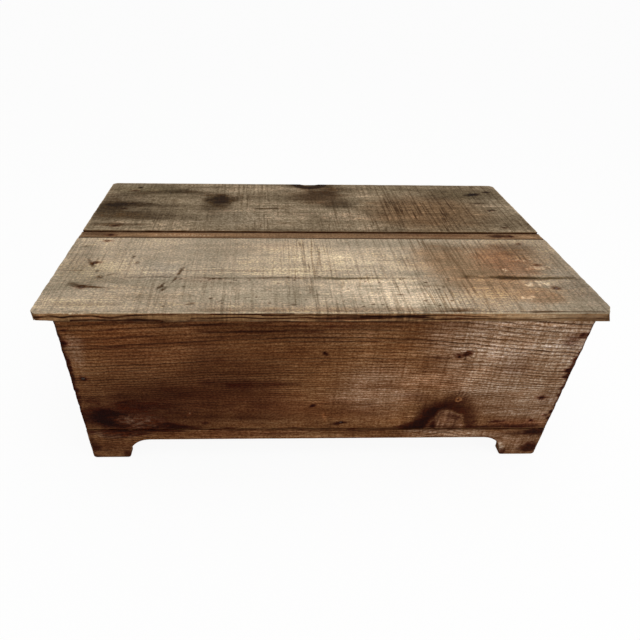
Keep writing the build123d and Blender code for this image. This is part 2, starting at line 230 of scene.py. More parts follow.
def closed_grid(u_lines, v_lines, depth_lines):
    """Points and faces of a closed block: a grid on its show face and its under face, and rows between."""
    nu, nv = len(u_lines), len(v_lines)
    u, v = (part.ravel() for part in np.meshgrid(u_lines, v_lines, indexing="ij"))
    number = np.arange(nu * nv).reshape(nu, nv)
    rim = np.concatenate([number[:, 0], number[-1, 1:], number[-2::-1, -1], number[0, -2:0:-1]])
    layers = [(u, v, np.full(nu * nv, end)) for end in (depth_lines[0], depth_lines[-1])]
    rings = [rim]
    for row, depth in enumerate(depth_lines[1:-1]):
        layers.append((u[rim], v[rim], np.full(len(rim), depth)))
        rings.append(2 * nu * nv + row * len(rim) + np.arange(len(rim)))
    rings.append(rim + nu * nv)
    points = np.concatenate([np.column_stack(layer) for layer in layers])
    cell = number[:-1, :-1].ravel()
    show = np.column_stack([cell, cell + nv, cell + nv + 1, cell + 1])
    under = show[:, ::-1] + nu * nv
    steps = zip(rings, rings[1:])
    sides = [np.column_stack([low, np.roll(low, -1), np.roll(high, -1), high]) for high, low in steps]
    sides = np.concatenate(sides)
    part = np.repeat([0, 1, 2], [len(show), len(sides), len(under)])
    return points, np.concatenate([show, sides, under]), part


# %% The board
AXES = {"x": (1, 0, 0), "y": (0, 1, 0), "z": (0, 0, 1), "-x": (-1, 0, 0), "-y": (0, -1, 0), "-z": (0, 0, -1)}
CHANNELS = {"tone": ("dark", "pale", "warm", "grey"), "state": ("saw", "red", "wear", "green")}
SAME_PLACE = 1e-6
NAIL_DENT_DEPTH = 0.9
RUST_STREAK_LENGTH = 14.0


class Board:
    """One piece of wood in millimetres, with the marks that its finish reads."""

    def __init__(self, node, axes, step, arris=3.0, extra_u=(), extra_v=(), extra_depth=(), depth_step=5.0):
        self.node = node
        self.frame = np.array([AXES[name] for name in axes.split()], float)
        corners = np.array([list(corner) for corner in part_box(node)]) / MM @ self.frame.T
        self.low, self.high = corners.min(0), corners.max(0)
        self.thickness = self.high[2] - self.low[2]
        points, self.faces, self.part = closed_grid(
            grid_lines(self.low[0], self.high[0], step[0], arris, extra_u),
            grid_lines(self.low[1], self.high[1], step[1], arris, extra_v),
            grid_lines(0, self.thickness, depth_step, arris, extra_depth),
        )
        self.u, self.v, self.depth = points.T.copy()
        middle = (self.low + self.high) / 2
        self.towards = np.sign(middle[0] - self.u), np.sign(middle[1] - self.v)
        ways = enumerate((self.u, self.v))
        self.gap = [np.minimum(place - self.low[axis], self.high[axis] - place) for axis, place in ways]
        self.seed = sum(map(ord, node)) % 97
        self.marks = {name: np.zeros(len(self.u)) for group in CHANNELS.values() for name in group}
        self.ring = np.zeros(len(self.u))
        coarse = noise(self.u / 36, (self.v + self.depth) / 17, self.seed + 20)
        fine = noise(self.u / 10, (self.v + self.depth) / 5, self.seed + 21)
        self.swirl = 1.3 * coarse + 0.7 * fine - 1

    def fit(self, direction, low=None, high=None):
        """Bends the board's two sides in a direction, u or v, to places that change along them."""
        axis = "uv".index(direction)
        place, along = (self.v, self.u) if axis else (self.u, self.v)
        share = (place - self.low[axis]) / (self.high[axis] - self.low[axis])
        low = self.low[axis] if low is None else low(along)
        high = self.high[axis] if high is None else high(along)
        place[:] = low + share * (high - low)

    def round_corner(self, end, side, radius):
        """Wears one corner of the outline round, at the low (-1) or high (1) end and side."""
        centre_u = (self.low if end < 0 else self.high)[0] - end * radius
        centre_v = (self.low if side < 0 else self.high)[1] - side * radius
        p = (self.u - centre_u) * end
        q = (self.v - centre_v) * side
        inside = (p > 0) & (q > 0)
        p, q = p[inside], q[inside]
        angle = np.where(p >= q, q / p, 2 - p / q) * math.pi / 4
        reach = np.maximum(p, q)
        self.u[inside] = centre_u + end * reach * np.cos(angle)
        self.v[inside] = centre_v + side * reach * np.sin(angle)

    def wear_arrises(self, radius, spread=0.5, under_share=1.0):
        """Rounds the arrises of both faces, more in some places than in others. A radius may be an array."""
        worn_here = radius * (1 + spread * (2 * noise(self.u / 45, self.v / 45, 1 + self.seed) - 1))
        depth = self.depth.copy()
        for below, sign, share in ((depth, 1, 1.0), (self.thickness - depth, -1, under_share)):
            worn = share * worn_here
            off_face = below > SAME_PLACE
            drops = []
            for place, gap, towards in zip((self.u, self.v), self.gap, self.towards):
                on_side = (gap < SAME_PLACE) & off_face
                turn = np.clip(1 + np.where(on_side, below, -gap) / worn, 0, 2) * math.pi / 4
                turn = np.where(off_face & ~on_side, 0, turn)
                inset = np.where(turn > 0, worn * (1 - np.sin(turn)) - np.where(on_side, 0, gap), 0)
                place += towards * np.where((turn > 0) & (turn < math.pi / 2), inset, 0)
                drops.append(worn * (1 - np.cos(turn)))
            drop = np.minimum(np.hypot(*drops), worn)
            self.depth = np.where(below < worn, self.depth + sign * (drop - below), self.depth)
        from_arris = np.maximum(np.minimum(*self.gap), np.minimum(depth, self.thickness - depth))
        self.cover("wear", 1 - smooth(from_arris, 0.5, 2.5 + worn_here))

    def roughen_sides(self, amount_u, amount_v):
        """Makes the sawn ends and edges uneven: they only go inwards, and fade out a little way in."""
        sides = ((self.u, self.v, amount_u), (self.v, self.u, amount_v))
        for axis, (place, other, amount) in enumerate(sides):
            rough = 0.65 * noise(other / 14, self.depth / 30, 3 + axis + self.seed)
            rough += 0.35 * noise(other / 4, self.depth / 6, 3 + axis + self.seed)
            place += self.towards[axis] * amount * rough * (1 - smooth(self.gap[axis], 0, 9))

    def sink(self, amount):
        """Takes wood off the show face."""
        self.depth += amount * (1 - self.depth / self.thickness)

    def work_face(self, ridges=0.0, relief=0.0, waves=0.0):
        """Saw ridges across the grain, lines that stand proud of the earlywood, and long shallow waves."""
        teeth = noise(self.u / 4.6, self.v / 330, self.seed + 2)
        broad = noise(self.u / 26, self.v / 200, self.seed + 4)
        self.sink(ridges * (0.65 * teeth + 0.35 * broad) * (0.35 + 0.65 * self.marks["saw"]))
        share = self.ring - np.floor(self.ring)
        self.sink(relief * (1 - smooth(share, 0.45, 0.9)) * (0.5 + 0.5 * noise(self.u / 60, self.v / 20, 15)))
        self.sink(waves * noise(self.u / 210, self.v / 130, self.seed + 6))

    def age(self, worn, spread, rough=(0, 0), **face):
        """Works the face, wears the arrises round, and leaves the ends and edges rough."""
        self.work_face(**face)
        self.wear_arrises(worn, spread)
        self.roughen_sides(*rough)

    def stain(self, channel, amount):
        """Adds to a mark as a second coat does, so it never passes 1."""
        self.marks[channel] = 1 - (1 - self.marks[channel]) * (1 - amount)

    def cover(self, channel, amount):
        """Brings a mark up to an amount where it is less."""
        self.marks[channel] = np.maximum(self.marks[channel], amount)

    def spot(self, u, v, length, width, turn=0.0, across=None):
        """How near each point is to the middle of an oval mark: 1 at its middle and 0 past its ragged rim."""
        du = self.u - u
        dv = (self.v if across is None else across) - v
        c, s = math.cos(math.radians(turn)), math.sin(math.radians(turn))
        away = np.hypot((du * c + dv * s) / length, (dv * c - du * s) / width)
        ragged = min(0.45, 17 / math.sqrt(length * width))
        return 1 - smooth(away + ragged * self.swirl, 0.15, 1.0)

    def paint(self, where=None, across=None, **marks):
        """Adds oval marks: place along and across, half length, half width, strength and perhaps a turn."""
        seen = 1 - smooth(self.depth, 3, 9) if where is None else where
        for channel, places in marks.items():
            for u, v, length, width, strength, *turn in places:
                self.stain(channel, strength * self.spot(u, v, length, width, *turn, across=across) * seen)

    def grow(self, pith_v, pith_depth, near, far=None, start=0, reach=300, wander=None, knots=()):
        """Numbers the growth rings, near apart at start from the pith and far apart a reach further."""
        drift = 0 if wander is None else wander(self.u)
        drift = drift + 7 * (noise(self.u / 160, self.v / 400, self.seed) - 0.5)
        drift = drift + 2 * (noise(self.u / 38, self.v / 60, self.seed + 9) - 0.5)
        from_pith = np.hypot(self.v - pith_v - drift, self.depth - pith_depth) - start
        slope = ((far or near) - near) / reach
        self.ring = from_pith / near
        if slope:
            self.ring = np.log(np.maximum(1 + slope * from_pith / near, 0.05)) / slope
        for u, v, length, width, lift in knots:
            self.ring += lift * np.exp(-((self.u - u) / length) ** 2 - ((self.v - v) / width) ** 2)

    def crack(self, start, end, v, width, depth, strength, wander=3.0, seed=5):
        """A drying crack along the grain, which wanders a little and fades out at both ends."""
        path = v + wander * (noise(self.u / 60, 0, seed) - 0.5)
        path += 0.4 * wander * (noise(self.u / 11, 0, seed) - 0.5)
        along = smooth(self.u, start, start + 35) * (1 - smooth(self.u, end - 35, end))
        along *= 0.25 + 0.75 * noise(self.u / 24, 0, seed + 1)
        near = along * (1 - smooth(np.abs(self.v - path), 0.15 * width, width)) * (self.depth < 6)
        self.sink(depth * near)
        self.stain("dark", strength * near)

    def gouge(self, *places):
        """Dents and scratches: oval hollows in the show face that have filled with dirt."""
        for u, v, length, width, turn, depth, strength in places:
            near = self.spot(u, v, length, width, turn) * (self.depth < 6)
            self.sink(depth * near)
            self.stain("dark", strength * near)

    def take_nails(self, halo=0.8):
        """Dents the wood round each nail head in the show face, and stains it with rust along the grain."""
        for place, facing in all_nails:
            u, v, w = self.frame @ place
            here = (self.low - 1 < (u, v, w)).all() and (self.high + 1 > (u, v, w)).all()
            if here and self.frame[2] @ facing > 0.9:
                streak = RUST_STREAK_LENGTH
                self.sink(NAIL_DENT_DEPTH * self.spot(u, v, 8.5, 7.5) * (self.depth < 8))
                self.paint(dark=[(u, v, 9.5, 8.0, halo), (u, v, streak, 4.5, 0.6 * halo)])
                self.paint(red=[(u, v, 1.5 * streak, 12, 0.5)])

    def build(self, body, slot, show, edge, under):
        """Turns the board into a mesh that rides on its body and stands for its node."""
        self.depth = np.clip(self.depth, 0, self.thickness)
        place = np.column_stack([self.u, self.v, self.high[2] - self.depth]) @ self.frame * MM
        faces = self.faces if np.linalg.det(self.frame) > 0 else self.faces[:, ::-1]
        mesh = bpy.data.meshes.new(self.node + "_wood")
        mesh.from_pydata(place.tolist(), [], faces.tolist())
        for finish in (show, edge, under):
            mesh.materials.append(finish)
        mesh.polygons.foreach_set("material_index", self.part.astype(np.int32))
        mesh.polygons.foreach_set("use_smooth", np.ones(len(faces), bool))
        shift = np.array([0.37, 0.73, 0.19]) * self.seed
        timber = np.column_stack([self.u, self.v, self.depth]) * MM + shift
        carried = [("timber", "FLOAT_VECTOR", "vector", timber), ("ring", "FLOAT", "value", self.ring)]
        for group, names in CHANNELS.items():
            values = np.column_stack([self.marks[channel] for channel in names])
            carried.append((group, "FLOAT_COLOR", "color", np.clip(values, 0, 1)))
        for name, kind, field, values in carried:
            mesh.attributes.new(name, kind, "POINT").data.foreach_set(field, values.ravel())
        piece = bpy.data.objects.new(self.node + "_wood", mesh)
        bpy.context.scene.collection.objects.link(piece)
        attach(piece, body)
        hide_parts(self.node)
        print(f"{piece.name}: {2 * len(faces)} triangles, {self.thickness:.1f} mm thick")


# %% [markdown]
# ## The look of old sawn pine
# Pine has dark latewood lines between pale earlywood, fine fibres along the grain, and on a sawn board the
# teeth leave ridges across it. Age then stains, greys and polishes it in patches. One image would repeat and
# would not follow the knots, so the finish is worked out from what each board carries: the number of the
# growth ring at every point, its own directions, and its listed marks. Noise breaks the marks' rims, so
# they follow the fibres as real stains do. Pine is a dull, dry surface: roughness about 0.8, IOR about 1.5.

# %% Pine finish
PALER = (1.8, 1.82, 1.86, 1.0)


def pine(name, early, late, lines=0.6, fibres=0.1, speckle=0.2, sawn=0.6, mottle=0.12, streaks=0.1,
         combed=1.5, dust=(1.1, 1.25), worn="#b59a78", stain="#7a5a3c", grey_and_sheen_tint=(0.95, 1.0, 1.08), relief=0.7):
    """Old pine: its earlywood and latewood colours, and how strongly lines, fibres and saw marks show."""
    material, node = new_material(name)

    def fine_noise(per_metre, detail, roughness=0.6):
        """Noise with this many hills per metre along the grain, across it and through the board."""
        return node("TexNoise", node("VectorMath", timber, per_metre, **TIMES), 1.0, detail, roughness)

    timber = node("Attribute", attribute_name="timber").outputs["Vector"]
    ring = node("Attribute", attribute_name="ring").outputs["Fac"]
    mark = {}
    for group, names in CHANNELS.items():
        source = node("Attribute", attribute_name=group)
        mark.update(zip(names, (*node("SeparateColor", source).outputs, source.outputs["Alpha"])))

    fibre = node("MapRange", fine_noise((22, 400, 400), 5.0, 0.66), 0.32, 0.68, **EASED)
    specks = fine_noise((190, 250, 250), 3.0, 0.75)
    mottles = fine_noise((20, 46, 46), 4.0, 0.62)

    # Latewood lines: pale just after a line, then darker until the line's sharp outer side. The finest
    # real ones are under a millimetre apart, so fewer and wider ones stand for them
    wandering = node("Math", fine_noise((26, 110, 110), 2.0), 0.45, ring, **TIMES_PLUS)
    profile = [(0.0, "#101010"), (0.4, "#1c1c1c"), (0.62, "#989898"), (0.84, "#ffffff"), (1.0, "#141414")]
    line = node("ValToRGB", node("Math", wandering, operation="FRACT"), stops=profile)
    number = node("TexWhiteNoise", node("Math", wandering, operation="FLOOR"), noise_dimensions="1D")
    line = node("Math", line, node("MapRange", number, 0.0, 1.0, 0.6, 1.0, **EASED), **TIMES)
    faint = node("MapRange", fine_noise((5, 20, 20), 2.0), 0.35, 0.6, 0.65, 1.0, **EASED)
    line = node("Math", line, faint, **TIMES)

    # Saw marks: soft ridges straight across the grain, and thin scratches where a tooth stood out
    teeth = fine_noise((190, 6, 6), 2.0)
    crossing = node("Math", fine_noise((84, 2.6, 2.6), 1.0), 0.5, operation="SUBTRACT")
    crossing = node("Math", crossing, operation="ABSOLUTE")
    scratches = node("MapRange", crossing, 0.034, 0.004, 0.0, 0.8, **EASED)
    scratched = node("MapRange", fine_noise((26, 8, 8), 2.0), 0.4, 0.6, **EASED)
    scratches = node("Math", scratches, scratched, **TIMES)
    ridges = node("MapRange", teeth, 0.5, 0.28, 0.0, 0.6, **EASED)
    cuts = node("Math", node("Math", ridges, scratches, operation="MAXIMUM"), mark["saw"], **TIMES)

    # Fibres and mottling break a mark up, as they do a real stain
    grain = node("Math", fibre, 0.45, **TIMES)
    grain = node("Math", grain, node("Math", mottles, 0.55, **TIMES), operation="ADD")

    def broken(channel, bite=1.3):
        """A mark with its rims and body eaten into by the grain."""
        eaten = node("Math", mark[channel], node("Math", grain, bite, 1 - bite / 2, **TIMES_PLUS), **TIMES)
        return node("MapRange", eaten, 0.02, 0.95, **EASED)

    # A lighter spot is also greyer: the dust and wear that make it light hide the wood's own warm colour
    light = 1.0
    for source, start, end, share in (
        (fibre, 0.0, 1.0, fibres),
        (specks, 0.34, 0.66, speckle),
        (fine_noise((4, 9, 9), 3.0), 0.3, 0.7, mottle),
        (fine_noise((3, 46, 46), 3.0), 0.3, 0.7, streaks),
    ):
        spread = node("MapRange", source, start, end, 1 - share, 1 + share, **EASED)
        light = node("Math", light, spread, **TIMES)
    comb = node("Math", node("Math", teeth, 0.5, operation="SUBTRACT"), combed, **TIMES)
    light = node("Math", light, node("Math", comb, mark["saw"], 1.0, **TIMES_PLUS), **TIMES)
    shade = node("CombineXYZ", light, *(node("Math", light, power, operation="POWER") for power in dust))
    clouds = node("ValToRGB", mottles, stops=[(0.3, "#74716c"), (0.5, "#807f7e"), (0.7, "#8b8480")])
    # The grey mark multiplies by its tint: a little greying on the lid; with the case's strong tint it lightens
    # and greys, and over the front's right half that is painted sheen, a greyish reflection
    greying_and_sheen = node("Math", broken("grey", 0.4), node("Math", line, -0.6 * lines, 1.0, **TIMES_PLUS), **TIMES)
    chips = node("MapRange", specks, 0.5, 0.58, **EASED)
    chips = node("Math", node("MapRange", mark["pale"], 0.6, 0.9, **EASED), chips, **TIMES)
    colour = linear(early)
    for kind, share, tint in (
        ("MIX", node("Math", line, lines, **TIMES), linear(late)),
        ("MULTIPLY", 1.0, shade),
        ("OVERLAY", 0.6, clouds),
        ("MULTIPLY", node("Math", cuts, sawn, **TIMES), linear("#a08e76")),
        ("MULTIPLY", broken("warm", 0.4), linear("#e5cfbb")),
        ("MULTIPLY", broken("red", 0.4), linear("#dfae98")),
        ("MULTIPLY", broken("green", 0.6), linear("#b9b798")),
        ("MULTIPLY", greying_and_sheen, (*grey_and_sheen_tint, 1.0)),
        ("MULTIPLY", broken("pale"), PALER),
        ("MIX", node("Math", chips, 0.8, **TIMES), linear("#d9c8a9")),
        ("MIX", node("Math", broken("wear"), 0.45, **TIMES), linear(worn)),
        ("MULTIPLY", broken("dark"), linear(stain)),
        ("MULTIPLY", node("MapRange", mark["dark"], 0.82, 1.0, **EASED), linear("#9c8a78")),
    ):
        colour = node("Mix", share, colour, tint, data_type="RGBA", blend_type=kind)

    height = node("Math", line, 0.55, node("Math", fibre, 0.5, **TIMES), **TIMES_PLUS)
    height = node("Math", height, node("Math", cuts, 0.9 * sawn, **TIMES), operation="SUBTRACT")
    bump = node("Bump", named={"Height": height, "Strength": relief, "Distance": 0.0006})
    dull = node("Math", fibre, 0.12, 0.76, **TIMES_PLUS)
    looks = {"Base Color": colour, "Normal": bump, "Roughness": dull, "IOR": 1.5, "Specular IOR Level": 0.06}
    node("OutputMaterial", node("BsdfPrincipled", named=looks))
    return material


# %% The kinds of pine
lid_pine = pine("lid_pine_weathered", "#c1b39a", "#9a866c", lines=0.4, fibres=0.1, speckle=0.27, sawn=0.85,
                mottle=0.16, combed=0.5, worn="#cdb896", stain="#7d664c")
rear_lid_pine = pine("rear_lid_pine_darkened", "#9c896e", "#64533a", fibres=0.22, speckle=0.44, sawn=1.3,
                     mottle=0.3, streaks=0.2, combed=1.2, stain="#7e6b4e")
strip_pine = pine("strip_pine_brown", "#957454", "#4c3018", lines=0.9, fibres=0.2, speckle=0.3, sawn=0.3)
edge_pine = pine("lid_edge_pine", "#a87e54", "#381d0c", lines=1.0, sawn=0.1, mottle=0.28, streaks=0.3,
                 dust=(1.15, 1.3), stain="#6c4526", relief=1.0)
# The case's grey tint is strong because it carries the painted sheen, a greyish reflection, over the right half of
# the front
case_pine = pine("case_pine_dark_stained", "#8c5c36", "#220c04", lines=1.0, fibres=0.28, speckle=0.4,
                 sawn=0.5, mottle=0.22, streaks=0.24, combed=1.6, dust=(1.4, 1.85), worn="#84623f",
                 stain="#7a4724", grey_and_sheen_tint=(2.15, 3.4, 6.2))
inside_pine = pine("inside_pine_bare", "#b99970", "#8c6844", lines=0.8, sawn=0.35, mottle=0.25, streaks=0.15,
                   combed=0.4, dust=(1.15, 1.3), worn="#c0a074")
case_looks = ("case", "case_wood", case_pine, case_pine, inside_pine)
bare_looks = ("inside_wood", inside_pine, inside_pine, inside_pine)

# %% [markdown]
# ## Old iron
# The nails and hinges are wrought iron that has rusted brown and been rubbed dark again. Rust is not a metal,
# so most of the surface is rough and without a mirror, with rubbed metal only where noise lets it through.

# %% Iron finish
PITS_PER_METRE = 900


def old_iron(name, dark, rust, rubbed, rust_share):
    """Rusted wrought iron: a pitted brown skin with darker rubbed metal in between."""
    material, node = new_material(name)
    place = node("TexCoord").outputs["Object"]
    pits = node("TexNoise", place, PITS_PER_METRE, 4.0)
    bloom = node("TexNoise", place, PITS_PER_METRE / 6, 3.0)
    share = node("MapRange", bloom, 0.62 - rust_share / 2, 0.82 - rust_share / 2)
    grain = node("ValToRGB", pits, stops=[(0.3, dark), (0.55, rubbed), (0.7, rust)])
    skin = node("Mix", share, grain, linear(rust), data_type="RGBA")
    metal = node("Math", 0.75, share, operation="SUBTRACT", use_clamp=True)
    bump = node("Bump", named={"Height": pits, "Strength": 0.5, "Distance": 0.0004})
    looks = {"Base Color": skin, "Metallic": metal, "Normal": bump, "Roughness": 0.62}
    node("OutputMaterial", node("BsdfPrincipled", named=looks))
    return material


nail_iron = old_iron("rusted_nail_iron", "#1d1612", "#4a3022", "#2b221c", rust_share=0.5)
hinge_iron = old_iron("worn_hinge_iron", "#261d18", "#6a4229", "#4a4039", rust_share=0.4)
screw_iron = old_iron("rubbed_screw_iron", "#2c2622", "#5e4130", "#8a827a", rust_share=0.2)

# %% [markdown]
# ## Where the nails and screws are
# Every nail and screw is already in its place in the construction, many to a node. Splitting a node's mesh
# into its loose islands gives each one's place, its direction and its size, so nothing is measured twice.

# %% Places of the fasteners
LONGEST_ISLAND = 40
END_SLICE = 0.3


def driven_places(node):
    """The middle of each fastener's head in millimetres, and the direction that its head faces."""
    mesh = frame["nodes"][node].data
    points = np.array([vertex.co for vertex in mesh.vertices]) / MM
    corners, index = np.unique(np.round(points, 2), axis=0, return_inverse=True)
    index = index.ravel()
    island = np.arange(len(corners))
    edges = index[np.array([edge.vertices[:] for edge in mesh.edges])]
    for _ in range(LONGEST_ISLAND):
        low = island[edges].min(1)
        np.minimum.at(island, edges[:, 0], low)
        np.minimum.at(island, edges[:, 1], low)
    found = []
    for number in np.unique(island):
        own = corners[island == number]
        axis = int(np.ptp(own, axis=0).argmax())
        ends = []
        for end in (own[:, axis].min(), own[:, axis].max()):
            ring = own[np.abs(own[:, axis] - end) < END_SLICE]
            ends.append((np.ptp(np.delete(ring, axis, 1), axis=0).max(), end))
        width, end = max(ends)
        place = (own.max(0) + own.min(0)) / 2
        place[axis] = end
        facing = np.zeros(3)
        facing[axis] = 1 if end == own[:, axis].max() else -1
        found.append((place, facing))
    print(f"{node}: {len(found)} fasteners, heads {width:.1f} mm wide")
    return found


nail_groups = {name: driven_places(name) for name in frame["nodes"] if name.endswith("_nails")}
screw_groups = {name: driven_places(name) for name in frame["nodes"] if name.endswith("_screws")}
all_nails = [place for group in nail_groups.values() for place in group]

# %% [markdown]
# ## The lid
# Two wide boards with a narrow brown strip between them, battened below. The front board is bleached pale,
# with an orange patch at its right; the rear one has darkened and stained. Saw ridges run across both. The
# lid's underside has beds for the hinge leaves and a groove for the barrels, or the lid could not open.

# %% The lid's front board
lid_step = (2.4, 4.2)
front_corner_radius, rear_corner_radius = 12, 13
corner_lines = (-317, -314, -311, -308, -305, -302, -298, -291)
front_lid = Board("lid_front_board", "x y z", lid_step, depth_step=1.5,
                  extra_v=(*corner_lines, *np.arange(-200, -164, 2.2)))
front_lid.round_corner(-1, -1, front_corner_radius)
split_from, split_width = -298, 22


def split_corner(v):
    """Where the board's right end is: a sliver has split off, 13 mm at the top and 5 mm at the bottom."""
    split_length = 13 - 8 * front_lid.depth / front_lid.thickness
    return front_lid.high[0] - split_length * np.clip((split_from - v) / split_width, 0, 1)


front_lid.fit("u", high=split_corner)
front_lid.fit("v", low=lambda u: front_lid.low[1] + 1.0 * noise(u / 70, 0, 4) + 0.6 * noise(u / 13, 0, 6))
front_lid.grow(-215, 46, 5.2)
front_lid.ring += 0.22 * front_lid.depth + 1.2 * noise(front_lid.u / 120, front_lid.depth / 14, 5)
front_lid.marks["saw"] += 0.3 + 0.4 * smooth(noise(front_lid.u / 110, front_lid.v / 260, 3), 0.2, 0.7)
front_lid.marks["saw"] += 0.3 * smooth(front_lid.u, -260, 100)
front_lid.marks["dark"] += 0.3 * smooth(front_lid.u + 0.3 * front_lid.v, 300, 420)
front_lid.paint(pale=[
    (120, -240, 190, 90, 0.6), (-150, -255, 230, 70, 0.3), (90, -110, 220, 90, 0.3),
    (-120, -90, 200, 60, 0.15), (180, -285, 130, 36, 0.5), (490, -280, 60, 40, 0.3),
], warm=[
    (330, -170, 170, 190, 0.9), (260, -110, 110, 110, 0.6), (430, -100, 120, 110, 0.7),
    (-330, -265, 180, 30, 0.3), (0, -308, 560, 16, 0.5), (-200, -70, 160, 60, 0.25),
    (500, -260, 70, 60, 0.3), (425, -262, 85, 50, 0.65),
], grey=[
    (520, -230, 80, 150, 0.5), (-325, -170, 90, 60, 0.6), (90, -150, 90, 45, 0.5),
], red=[
    (400, -130, 110, 130, 0.45), (430, -268, 75, 42, 0.22), (-70, -60, 160, 40, 0.2),
    (-240, -200, 90, 30, 0.25),
], green=[
    (400, -192, 160, 12, 0.8, -2), (-470, -180, 110, 90, 0.35), (60, -196, 200, 9, 0.5),
], dark=[
    (390, -193, 180, 13, 0.65, -1.5), (518, -236, 40, 50, 0.2), (455, -60, 90, 40, 0.25),
    (430, -100, 130, 100, 0.15), (410, -314, 160, 6, 0.75), (260, -313, 130, 6, 0.6),
    (290, -306, 120, 4, 0.4), (-440, -315, 130, 5, 0.5), (300, -60, 120, 30, 0.3),
    (-60, -196, 400, 9, 0.45), (-60, -168, 300, 6, 0.25), (200, -120, 200, 12, 0.3, 1),
    (-200, -290, 300, 14, 0.3), (-450, -290, 120, 20, 0.35), (-394, -110, 9, 8, 0.8),
    (-382, -134, 8, 11, 0.5), (-509, -61, 11, 6, 0.6), (208, -226, 11, 8, 0.5), (95, -150, 80, 16, 0.3),
    (-395, -235, 150, 14, 0.25), (-440, -205, 110, 26, 0.3), (-500, -120, 50, 120, 0.3),
    (-330, -185, 130, 12, 0.3), (0, -303, 540, 10, 0.25), (-60, -312, 480, 7, 0.4),
])

# %% Flecks, cracks and scratches in the lid's front board
flecks_each, speckle_count = 9, 80
fleck_random = np.random.default_rng(12)
flecks = []
for middle_u, middle_v, reach_u, reach_v in (
    (436, -118, 22, 6), (465, -152, 20, 9), (440, -218, 18, 6), (396, -266, 12, 6), (392, -161, 7, 5),
):
    for _ in range(flecks_each):
        place = fleck_random.normal((middle_u, middle_v), (0.7 * reach_u, 0.7 * reach_v))
        size = fleck_random.uniform((4.5, 4.2), (8, 5.8))
        flecks.append((*place, *size, 1.0, fleck_random.uniform(-40, 40)))
front_lid.paint(pale=flecks)
front_lid.crack(-560, 60, -167, 2.6, 0.8, 0.6, wander=7, seed=11)
front_lid.crack(-400, 545, -196, 3.6, 0.5, 0.45, wander=9, seed=14)
front_lid.gouge(
    (-480, -132, 30, 7, -58, 1.0, 0.75), (-470, -148, 20, 8, -40, 0.8, 0.6),
    (-455, -170, 12, 8, -60, 0.8, 0.55), (-445, -191, 13, 11, 0, 1.0, 0.75),
    (-430, -186, 26, 5, 25, 0.5, 0.45), (-472, -226, 28, 6, -6, 0.8, 0.75),
    (-446, -231, 38, 6, -4, 0.9, 0.8), (-490, -219, 12, 8, -20, 0.7, 0.65),
    (-296, -205, 24, 6, 74, 0.9, 0.75), (-312, -240, 22, 10, 60, 1.0, 0.85),
    (-318, -228, 34, 5, 66, 0.7, 0.7), (-287, -172, 26, 7.0, 76, 0.9, 0.85),
    (-22, -150, 36, 3.4, 90, 0.5, 0.8), (148, -256, 20, 3.4, 0, 0.6, 0.8),
    (-250, -262, 34, 3.0, -28, 0.4, 0.5),
)
speckle = np.random.default_rng(7)
for _ in range(speckle_count):
    place = speckle.uniform((-330, -300), (260, -190))
    front_lid.gouge((*place, *speckle.uniform((3.5, 3.0), (7, 4)), 0, 0.3, speckle.uniform(0.5, 1.0)))

# %% The lid's front edge
# It is cracked and dirty: wavy dark lines run along it, and its top arris is rubbed pale
front_edge = (front_lid.gap[1] < SAME_PLACE) & (front_lid.v < -200)
edge_cracks = [
    (1.7, [(-532, 9), (-505, 6), (-484, 9), (-455, 6), (-430, 5), (-412, 9), (-395, 10), (-365, 6), (-330, 2),
           (-60, 1.5)]),
    (1.6, [(-470, 17), (-430, 15), (-400, 17), (-330, 15), (-300, 18)]),
    (1.3, [(-250, 12), (-160, 9), (-110, 13), (-40, 10), (40, 14), (120, 11)]),
    (1.2, [(-120, 5), (0, 3), (90, 6), (210, 4), (300, 7)]),
    (1.6, [(60, 9), (120, 7), (180, 9), (200, 12)]),
    (1.0, [(180, 15), (260, 12), (380, 14), (470, 10), (538, 12)]),
]
edge_wave = 1.6 * (noise(front_lid.u / 16, 0, 61) - 0.5)
for width, path in edge_cracks:
    path_u, path_depth = zip(*path)
    on_path = (front_lid.u > path_u[0]) & (front_lid.u < path_u[-1]) & front_edge
    away = np.abs(front_lid.depth - edge_wave - np.interp(front_lid.u, path_u, path_depth))
    near = (1 - smooth(away, 0.4 * width, 2.2 * width)) * on_path
    front_lid.cover("dark", near * (0.6 + 0.4 * noise(front_lid.u / 21, 0, 63)))
front_lid.paint(dark=[
    (60, 9, 200, 6.0, 0.6, 1), (155, 7, 80, 6.0, 0.7, -3), (260, 12, 160, 5.0, 0.45),
    (-330, 15, 200, 4.0, 0.5), (-20, 15, 70, 6.0, 0.5), (-200, 18, 340, 3.5, 0.5), (-536, 10, 24, 12, 0.5),
    (-430, 6, 130, 6, 0.35), (-420, 13, 150, 8, 0.45), (-410, 15, 26, 4.5, 0.95),
], red=[
    (-420, 10, 200, 14, 0.2), (60, 12, 200, 9, 0.4),
], pale=[
    (420, 9, 190, 14, 0.66), (300, 5, 230, 9, 0.6), (-250, 1, 260, 4, 0.6), (-475, 1.5, 95, 4, 0.8),
    (-400, 12, 40, 5, 0.4),
], where=front_edge, across=front_lid.depth)
front_lid.cover("dark", 0.75 * smooth(front_lid.v, -23, -19))
front_lid.take_nails()
front_lid.work_face(ridges=0.55, waves=0.7)
left_nose = front_lid.spot(-540, -320, 70, 60)
front_lid.wear_arrises(2.3 + 4.5 * left_nose, 0.6, under_share=0.55)
front_lid.marks["wear"] *= 0.9 * noise(front_lid.u / 34, 0, 77)
front_lid.paint(wear=[
    (400, 8, 200, 12, 0.9),
], grey=[
    (430, 8, 190, 12, 0.4),
], where=front_edge, across=front_lid.depth)
front_lid.roughen_sides(2.2, 0.8)
front_lid.build("lid", "lid_wood", lid_pine, edge_pine, inside_pine)

# %% [markdown]
# ## The lid's rear board
# The rear board has darkened and carries an arch of old stain on its left half. A knot has fallen out of its
# back edge: a shallow bite with a black ring round it. The ring and the bite share the knot's middle.

